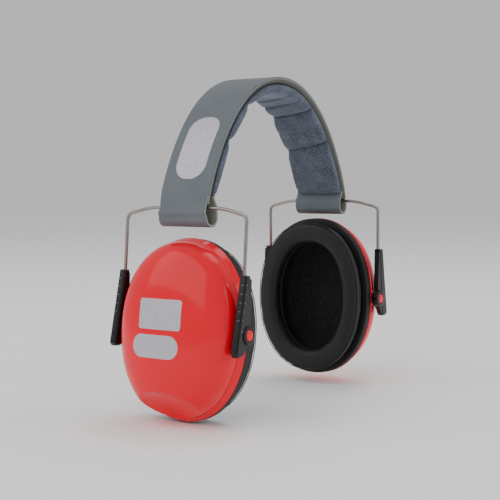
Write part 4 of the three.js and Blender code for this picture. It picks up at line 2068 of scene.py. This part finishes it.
@dataclass
class Cup:
    """A cup: shell, backplate, ring, cushion, foam liner and blank print. Sizes in mm."""

    half_width: float = 41.2
    half_height: float = 52.4
    power: float = 2.14
    wall: float = 2.4
    rim: float = 4.8
    side_height: float = 5.1
    side_draft: float = 2.1
    dome_height: float = 21.5
    dome_power: float = 2.45
    dome_sink: float = 3.0
    boss_radius: float = 4.1
    boss_foot: float = 6.6
    boss_stand: float = 7.1
    boss_top: float = 41.3
    scoop_radius: float = 38.0
    scoop_widening: float = 1.5
    scoop_out: float = 32.3
    scoop_down: float = 70.0
    plate_top: float = -0.4
    plate_face: float = -5.1
    hole_inset: float = 15.5
    cushion_thickness: float = 8.4
    cushion_inset: float = 1.9
    liner_thickness: float = 6.0
    liner_edge: float = 9.2
    plate_edge: float = 0.9
    skirt_height: float = 3.0
    ring_gap: float = 0.3
    ring_thickness: float = 1.2
    ring_inset: float = 5.0
    cushion_gap: float = 1.8  # from the backplate to the cushion
    weld_radius: float = 0.28
    print_lift: float = 0.12
    steps: int = 160

    def _oval(self, inset: float, angle: float) -> tuple[float, float]:
        """Finds a place on the oval.

        Args:
            inset: How far in from the cup's outline it is.
            angle: Its angle round the oval.

        Returns:
            Y and Z of the place.
        """
        share = inset / self.half_width
        slim = 1 + (self.half_height / self.half_width - 1) * share * share
        width = self.half_width - inset
        height = self.half_height - inset * slim
        power = 2 / self.power
        c, s = math.cos(angle), math.sin(angle)
        y = math.copysign(abs(c) ** power, c) * width
        z = math.copysign(abs(s) ** power, s) * height
        return y, z

    def oval_turned(
        self, name: str, profile: Sequence[tuple[float, float]], scoop: float | None = None
    ) -> Thing:
        """Turns a closed profile and presses it to the cup's oval.

        Args:
            name: The object's name.
            profile: Inset and height above the rim of each point, in order.
            scoop: The wall kept under the scoop, or None for no scoop.

        Returns:
            The oval piece, in the cup's frame, in metres.
        """
        points = [((self.half_width - inset) * MM, height * MM) for inset, height in profile]
        piece = Bench.turned(name, points, self.steps)

        def press(place: Vector) -> Vector:
            """Moves a place of the round turning onto the oval.

            Args:
                place: A place on the round turning, in metres.

            Returns:
                The place in the cup's frame, in metres.
            """
            inset = self.half_width - math.hypot(place.y, place.z) / MM
            height = place.x / MM
            y, z = self._oval(inset, math.atan2(place.z, place.y))
            rise = max(height - self.side_height, 0) / self.dome_height
            z -= self.dome_sink * rise * rise
            x = height - self.rim
            if scoop is not None and height > 0.5:
                x = smooth_min(x, self._scoop(y, z, scoop), 0.35)
            return Vector((x, y, z)) * MM

        return reshape(piece, press)

    def _scoop(self, y: float, z: float, wall: float) -> float:
        """Finds how far out the scoop lets the dome reach.

        Args:
            y: Y of the place.
            z: Z of the place.
            wall: The wall kept under the scoop.

        Returns:
            The highest X of the dome there.
        """
        radius = self.scoop_radius + wall
        left = radius**2 - (y / self.scoop_widening) ** 2 - (z + self.scoop_down) ** 2
        return self.scoop_out - math.sqrt(max(left, 0.0))

    def _dome(self, wall: float, count: int) -> list[tuple[float, float]]:
        """Draws the dome's profile from its foot to its pole.

        Args:
            wall: How far inside the dome's outer face it is drawn.
            count: The number of steps.

        Returns:
            Inset and height of each point.
        """
        start = self.side_draft + wall
        profile = []
        for i in range(count + 1):
            angle = (i / count) ** 0.9 * math.pi / 2
            along = 0.0 if i == count else math.cos(angle) ** (2 / self.dome_power)
            rise = (self.dome_height - wall) * math.sin(angle) ** (2 / self.dome_power)
            inset = self.half_width - (self.half_width - start) * along
            profile.append((inset, self.side_height + rise))
        return profile

    def shell(self) -> Thing:
        """The glossy dome with its stepped rim, scoop and pin bosses.

        Returns:
            The shell, in the cup's frame.
        """
        outer = [
            (0.35, 0.0),
            (0.1, 0.1),
            (0.0, 0.4),
            (0.7, 2.0),
            (1.45, 3.9),
            (1.62, 4.25),
            (2.05, 4.45),
            (2.25, 4.6),
            *self._dome(0, 56)[1:],
        ]
        inner = [(self.wall, 0.0), *self._dome(self.wall, 20)]
        profile = [*outer[:-1], (self.half_width, outer[-1][1]), *inner[::-1]]
        shell = self.oval_turned("cup_dome", profile, 0.0)
        for end in (-1, 1):
            Bench.combine(shell, self._boss(end), Merge.JOIN)
        return dress(Bench.smooth(shell, 30), RED_SHELL)

    def _boss(self, end: int) -> Thing:
        """Makes the boss that holds a pivot pin, cut off at the shell's rim.

        Args:
            end: 1 or -1 along Y.

        Returns:
            The boss.
        """
        boss = Bench.fresh(
            "boss",
            bpy.ops.mesh.primitive_cone_add,
            vertices=48,
            radius1=self.boss_foot * MM,
            radius2=self.boss_radius * MM,
            depth=self.boss_stand * MM,
            location=(0, end * (self.boss_top - self.boss_stand / 2) * MM, 0),
            rotation=(-end * math.pi / 2, 0, 0),
        )
        Bench.freeze(boss)
        rim = {"plane_co": (-self.rim * MM, 0, 0), "plane_no": (1, 0, 0)}
        with Bench.editing(boss, everything=True):
            bpy.ops.mesh.bisect(**rim, clear_inner=True, use_fill=True)
            Bench.bevel(boss, face_edges(end * self.boss_top * MM), 0.6 * MM, 3)
        return boss

    def plate(self) -> Thing:
        """The backplate with its rounded edge and the skirt inside the shell.

        Returns:
            The backplate, in the cup's frame.
        """
        top, face, edge = self.plate_top, self.plate_face, self.plate_edge
        skirt, lip = self.wall + 0.35, top + self.skirt_height
        arc = [
            (0.2 + edge * (1 - math.cos(a)), face + edge * (1 - math.sin(a))) for a in quarter()
        ]
        profile = [
            (skirt + 1.6, top),
            (skirt + 1.6, lip),
            (skirt + 1.4, lip),
            (skirt + 1.1, lip),
            (skirt + 0.3, top),
            (0.45, top),
            (0.2, top - 0.25),
            *arc,
            (3.4, face),
            (3.7, face - 0.01),
            (self.hole_inset - 0.6, face),
            (self.hole_inset, face + 0.6),
            (self.hole_inset, top - 0.6),
            (self.hole_inset - 0.6, top),
        ]
        plate = self.oval_turned("backplate_ring", profile)
        return Bench.smooth(dress(plate, DARK_PLATE), 40)

    def ring(self) -> Thing:
        """The clip-in ring that carries the cushion.

        Returns:
            The ring, in the cup's frame.
        """
        top = self.plate_face - self.ring_gap
        foot, inset, edge = top - self.ring_thickness, self.ring_inset, 0.2
        profile = [
            (self.hole_inset, top),
            (self.hole_inset, foot + edge),
            (self.hole_inset - edge, foot),
            (inset + edge, foot),
            (inset, foot + edge),
            (inset, top - edge),
            (inset + edge, top),
        ]
        ring = self.oval_turned("cushion_carrier", profile)
        return Bench.smooth(dress(ring, DARK_PLATE), 40)

    def cushion(self) -> Thing:
        """The ear cushion: a soft ring, drawn and then lightly puffed by a cloth simulation.

        Returns:
            The cushion, in the cup's frame.
        """
        top = self.plate_face - self.cushion_gap
        face = top - self.cushion_thickness + 0.9  # lowest point of the drawn section
        low, high = self.cushion_inset + 0.8, self.hole_inset + 0.4
        outer = [
            (low + 2.6 * (1 - math.cos(a)), face + 2.6 * (1 - math.sin(a))) for a in quarter()
        ]
        inner = [
            (high - 4.2 * (1 - math.sin(a)), face + 5.0 * (1 - math.cos(a))) for a in quarter()
        ]
        profile = [(high, top), (low + 1.0, top), (low, top - 1.0), *outer, *inner]
        cushion = self.oval_turned("soft_ring", profile)
        back = (top - self.rim) * MM

        def held(place: Vector) -> float:
            """Pins the cushion where it is bonded to its ring."""
            return 1.0 if place.x > back - 1.4 * MM else 0.0

        Inflation(voxel=2.4 * MM, cap=1.3 * MM, pressure=3.0, relax=8).run(cushion, held)

        def wrinkle(place: Vector) -> Vector:
            """Presses the weld line and a few slack waves into the skin.

            Args:
                place: A place on the puffed cushion.

            Returns:
                The moved place.
            """
            y, z = place.y / self.half_width, place.z / self.half_height
            angle, reach = math.atan2(z, y), math.hypot(z, y) / MM
            front = smoothstep(back - place.x, 3 * MM, 7 * MM)
            inner = smoothstep(0.76 - reach, 0.0, 0.12)
            wave = noise.noise(Vector((math.cos(angle) * 5, math.sin(angle) * 5, reach * 2)))
            place.x += (0.22 * wave * front + 0.3 * wave * inner) * MM
            return place

        reshape(cushion, wrinkle)
        return dress(cushion, CUSHION_SKIN)

    def weld(self) -> Thing:
        """The thin weld bead round the cushion's outer shoulder.

        Returns:
            The bead, in the cup's frame.
        """
        height = self.plate_face - self.cushion_gap - 0.75 * self.cushion_thickness
        inset, radius = self.cushion_inset + 1.3, self.weld_radius
        profile = [
            (inset - radius * math.cos(a), height + radius * math.sin(a))
            for a in (i * math.pi / 4 for i in range(8))
        ]
        bead = self.oval_turned("weld_bead", profile)
        return Bench.smooth(dress(bead, CUSHION_SKIN), 60)

    def liner(self) -> Thing:
        """The foam bowl inside the cup, seen through the ear opening.

        Returns:
            The bowl, in the cup's frame.
        """
        wall = self.wall + 0.6
        outer = [p for p in self._dome(wall, 24) if p[1] > self.liner_edge]
        inner = [p for p in self._dome(wall + self.liner_thickness, 24) if p[1] > self.liner_edge]
        first = (outer[0][0], self.liner_edge)
        last = (inner[0][0], self.liner_edge)
        outer[-1] = (self.half_width, outer[-1][1])
        inner[-1] = (self.half_width, inner[-1][1])
        liner = self.oval_turned("foam_bowl", [first, *outer, *inner[::-1], last], wall)

        def lumpy(place: Vector) -> Vector:
            """Gives the foam its uneven hand."""
            slow = noise.noise(place * 90)
            fine = noise.noise(place * 420)
            return place + Vector((1, 0, 0)) * (0.45 * slow + 0.16 * fine - 0.3) * MM

        reshape(liner, lumpy)
        return Bench.smooth(dress(liner, BLACK_FOAM), 60)

    def panel(
        self,
        dome: Thing,
        name: str,
        centre: tuple[float, float],
        size: tuple[float, float],
        corner: float,
    ) -> Thing:
        """A blank silver print that follows the dome.

        Args:
            dome: The dome that it lies on.
            name: The object's name.
            centre: Y and Z of its middle.
            size: Its width and height.
            corner: Its corner radius.

        Returns:
            The print, in the cup's frame.
        """
        sheet = Bench.strip(name, (size[0] * MM, size[1] * MM, 0.08 * MM), (48, 32))

        def onto(place: Vector) -> Vector:
            """Rounds the corners and drops the place onto the dome.

            Args:
                place: A place on the flat print.

            Returns:
                The place on the dome.
            """
            place = round_corner(place, size[0] * MM / 2, size[1] * MM / 2, corner * MM)
            y, z = place.x + centre[0] * MM, place.y + centre[1] * MM
            hit, spot, _, _ = dome.ray_cast(Vector((0.08, y, z)), Vector((-1, 0, 0)))
            if not hit:
                raise ValueError(f"{name} runs off the dome")
            return Vector((spot.x + place.z + self.print_lift * MM, y, z))

        reshape(sheet, onto)
        return Bench.clean(dress(sheet, SILVER), 50)

    def build(self) -> None:
        """Makes each template once and places a copy on both sides."""
        dome = self.shell()
        templates = {
            "cup_dome": Template(dome, "shell", "cup_shell"),
            "backplate_ring": Template(self.plate(), "plate", "backplate"),
            "cushion_carrier": Template(self.ring(), "plate", "cushion_ring"),
            "soft_ring": Template(self.cushion(), "cushion", "cushion", 0.8),
            "weld_bead": Template(self.weld(), "cushion"),
            "foam_bowl": Template(self.liner(), "foam", "foam_liner", 0.9),
        }
        for name, centre, size, corner in (
            ("silver_label", (-0.5, 9), (29, 17), 1.5),
            ("silver_bar", (-3, -9), (32, 13), 6.3),
        ):
            templates[name] = Template(self.panel(dome, name, centre, size, corner), "shell")
        for side in Side:
            matrix = SidePlaces(side).cup
            for name, template in templates.items():
                piece = Bench.placed_copy(template.piece, f"{side.word}_{name}", matrix)
                if template.node:
                    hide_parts(f"{side.word}_{template.node}")
                settle(piece, f"{side.word}_cup", template.slot)
        Bench.discard(*(template.piece for template in templates.values()))


def settle(piece: Thing, body: str, slot: str) -> None:
    """Fixes a finished piece to its body and reports it.

    Args:
        piece: The piece, in place.
        body: The body that it rides on.
        slot: The record's material slot; not used.
    """
    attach(piece, body)
    LOG.info("%s on %s, %d faces", piece.name, body, len(piece.data.polygons))


def dress_node(name: str, finish: Finish) -> None:
    """Gives a CAD node that stays visible its finish.

    Args:
        name: The CAD node's name.
        finish: Its finish.
    """
    materials = frame["nodes"][name].data.materials
    materials.clear()
    materials.append(finish.material())
    LOG.info("%s keeps its CAD shape, with %s", name, finish.name)


@dataclass(frozen=True)
class Softbox:
    """An area light, its place taken by the camera's right, up and back. Sizes in metres."""

    name: str
    place: tuple[float, float, float]
    size: tuple[float, float]
    watts: float


@dataclass
class Studio:
    """Floor, lights, world and camera."""

    target: tuple[float, float, float] = (-0.0080, 0.0029, -0.0943)
    azimuth: float = -56.08
    elevation: float = 3.97
    roll: float = -0.53
    distance: float = 0.6841
    focal_mm: float = 79.2
    sensor_mm: float = 36.0
    daylight: float = 0.62
    floor_size: float = 30.0
    softboxes: tuple[Softbox, ...] = (
        Softbox("key_softbox", (-0.92, 0.92, 0.72), (2.1, 1.4), 12),
        Softbox("side_softbox", (1.1, 0.35, 0.3), (0.7, 0.7), 3),
        Softbox("top_softbox", (0.3, 1.3, -0.4), (1.0, 0.8), 5),
    )

    def camera(self) -> None:
        """Points the camera at the earmuffs."""
        turn, lift, roll = (math.radians(a) for a in (self.azimuth, self.elevation, self.roll))
        back = Vector(
            (math.sin(turn) * math.cos(lift), -math.cos(turn) * math.cos(lift), math.sin(lift))
        )
        flat = Vector((math.cos(turn), math.sin(turn), 0))
        rise = back.cross(flat)
        right = flat * math.cos(roll) + rise * math.sin(roll)
        up = rise * math.cos(roll) - flat * math.sin(roll)
        data = bpy.data.cameras.new("studio_camera")
        data.lens = self.focal_mm
        data.sensor_width = self.sensor_mm
        camera = bpy.data.objects.new("studio_camera", data)
        matrix = Matrix((right, up, back)).transposed().to_4x4()
        matrix.translation = Vector(self.target) + back * self.distance
        camera.matrix_world = matrix
        bpy.context.scene.collection.objects.link(camera)
        bpy.context.scene.camera = camera
        self.axes = (right, up, back)

    def light(self, box: Softbox) -> None:
        """Adds a softbox aimed at the earmuffs.

        Args:
            box: The softbox.
        """
        data = bpy.data.lights.new(box.name, "AREA")
        data.shape = "RECTANGLE"
        data.size, data.size_y = box.size
        data.energy = box.watts
        lamp = bpy.data.objects.new(box.name, data)
        aim = Vector(self.target)
        right, up, back = self.axes
        lamp.location = aim + right * box.place[0] + up * box.place[1] + back * box.place[2]
        lamp.rotation_euler = (aim - lamp.location).to_track_quat("-Z", "Y").to_euler()
        bpy.context.scene.collection.objects.link(lamp)

    def build(self) -> None:
        """Makes the studio."""
        self.camera()
        below = (0, 0, CAD_BOX[0][2] - 0.4 * MM)
        plane = bpy.ops.mesh.primitive_plane_add
        floor = Bench.fresh("studio_floor", plane, size=self.floor_size, location=below)
        dress(Bench.freeze(floor), FLOOR)
        world = bpy.context.scene.world or bpy.data.worlds.new("studio")
        bpy.context.scene.world = world
        world.use_nodes = True
        sky = world.node_tree.nodes["Background"].inputs
        sky[0].default_value = (1, 1, 1, 1)
        sky[1].default_value = self.daylight
        for box in self.softboxes:
            self.light(box)


def main() -> None:
    """Builds the studio and every sub-assembly in order."""
    logging.basicConfig(level=logging.INFO, format="%(name)s: %(message)s")
    Studio().build()
    for assembly in (Band(), Bail(), Sliders(), Cup()):
        assembly.build()
        LOG.info("%s done", type(assembly).__name__)


if __name__ == "__main__":
    main()
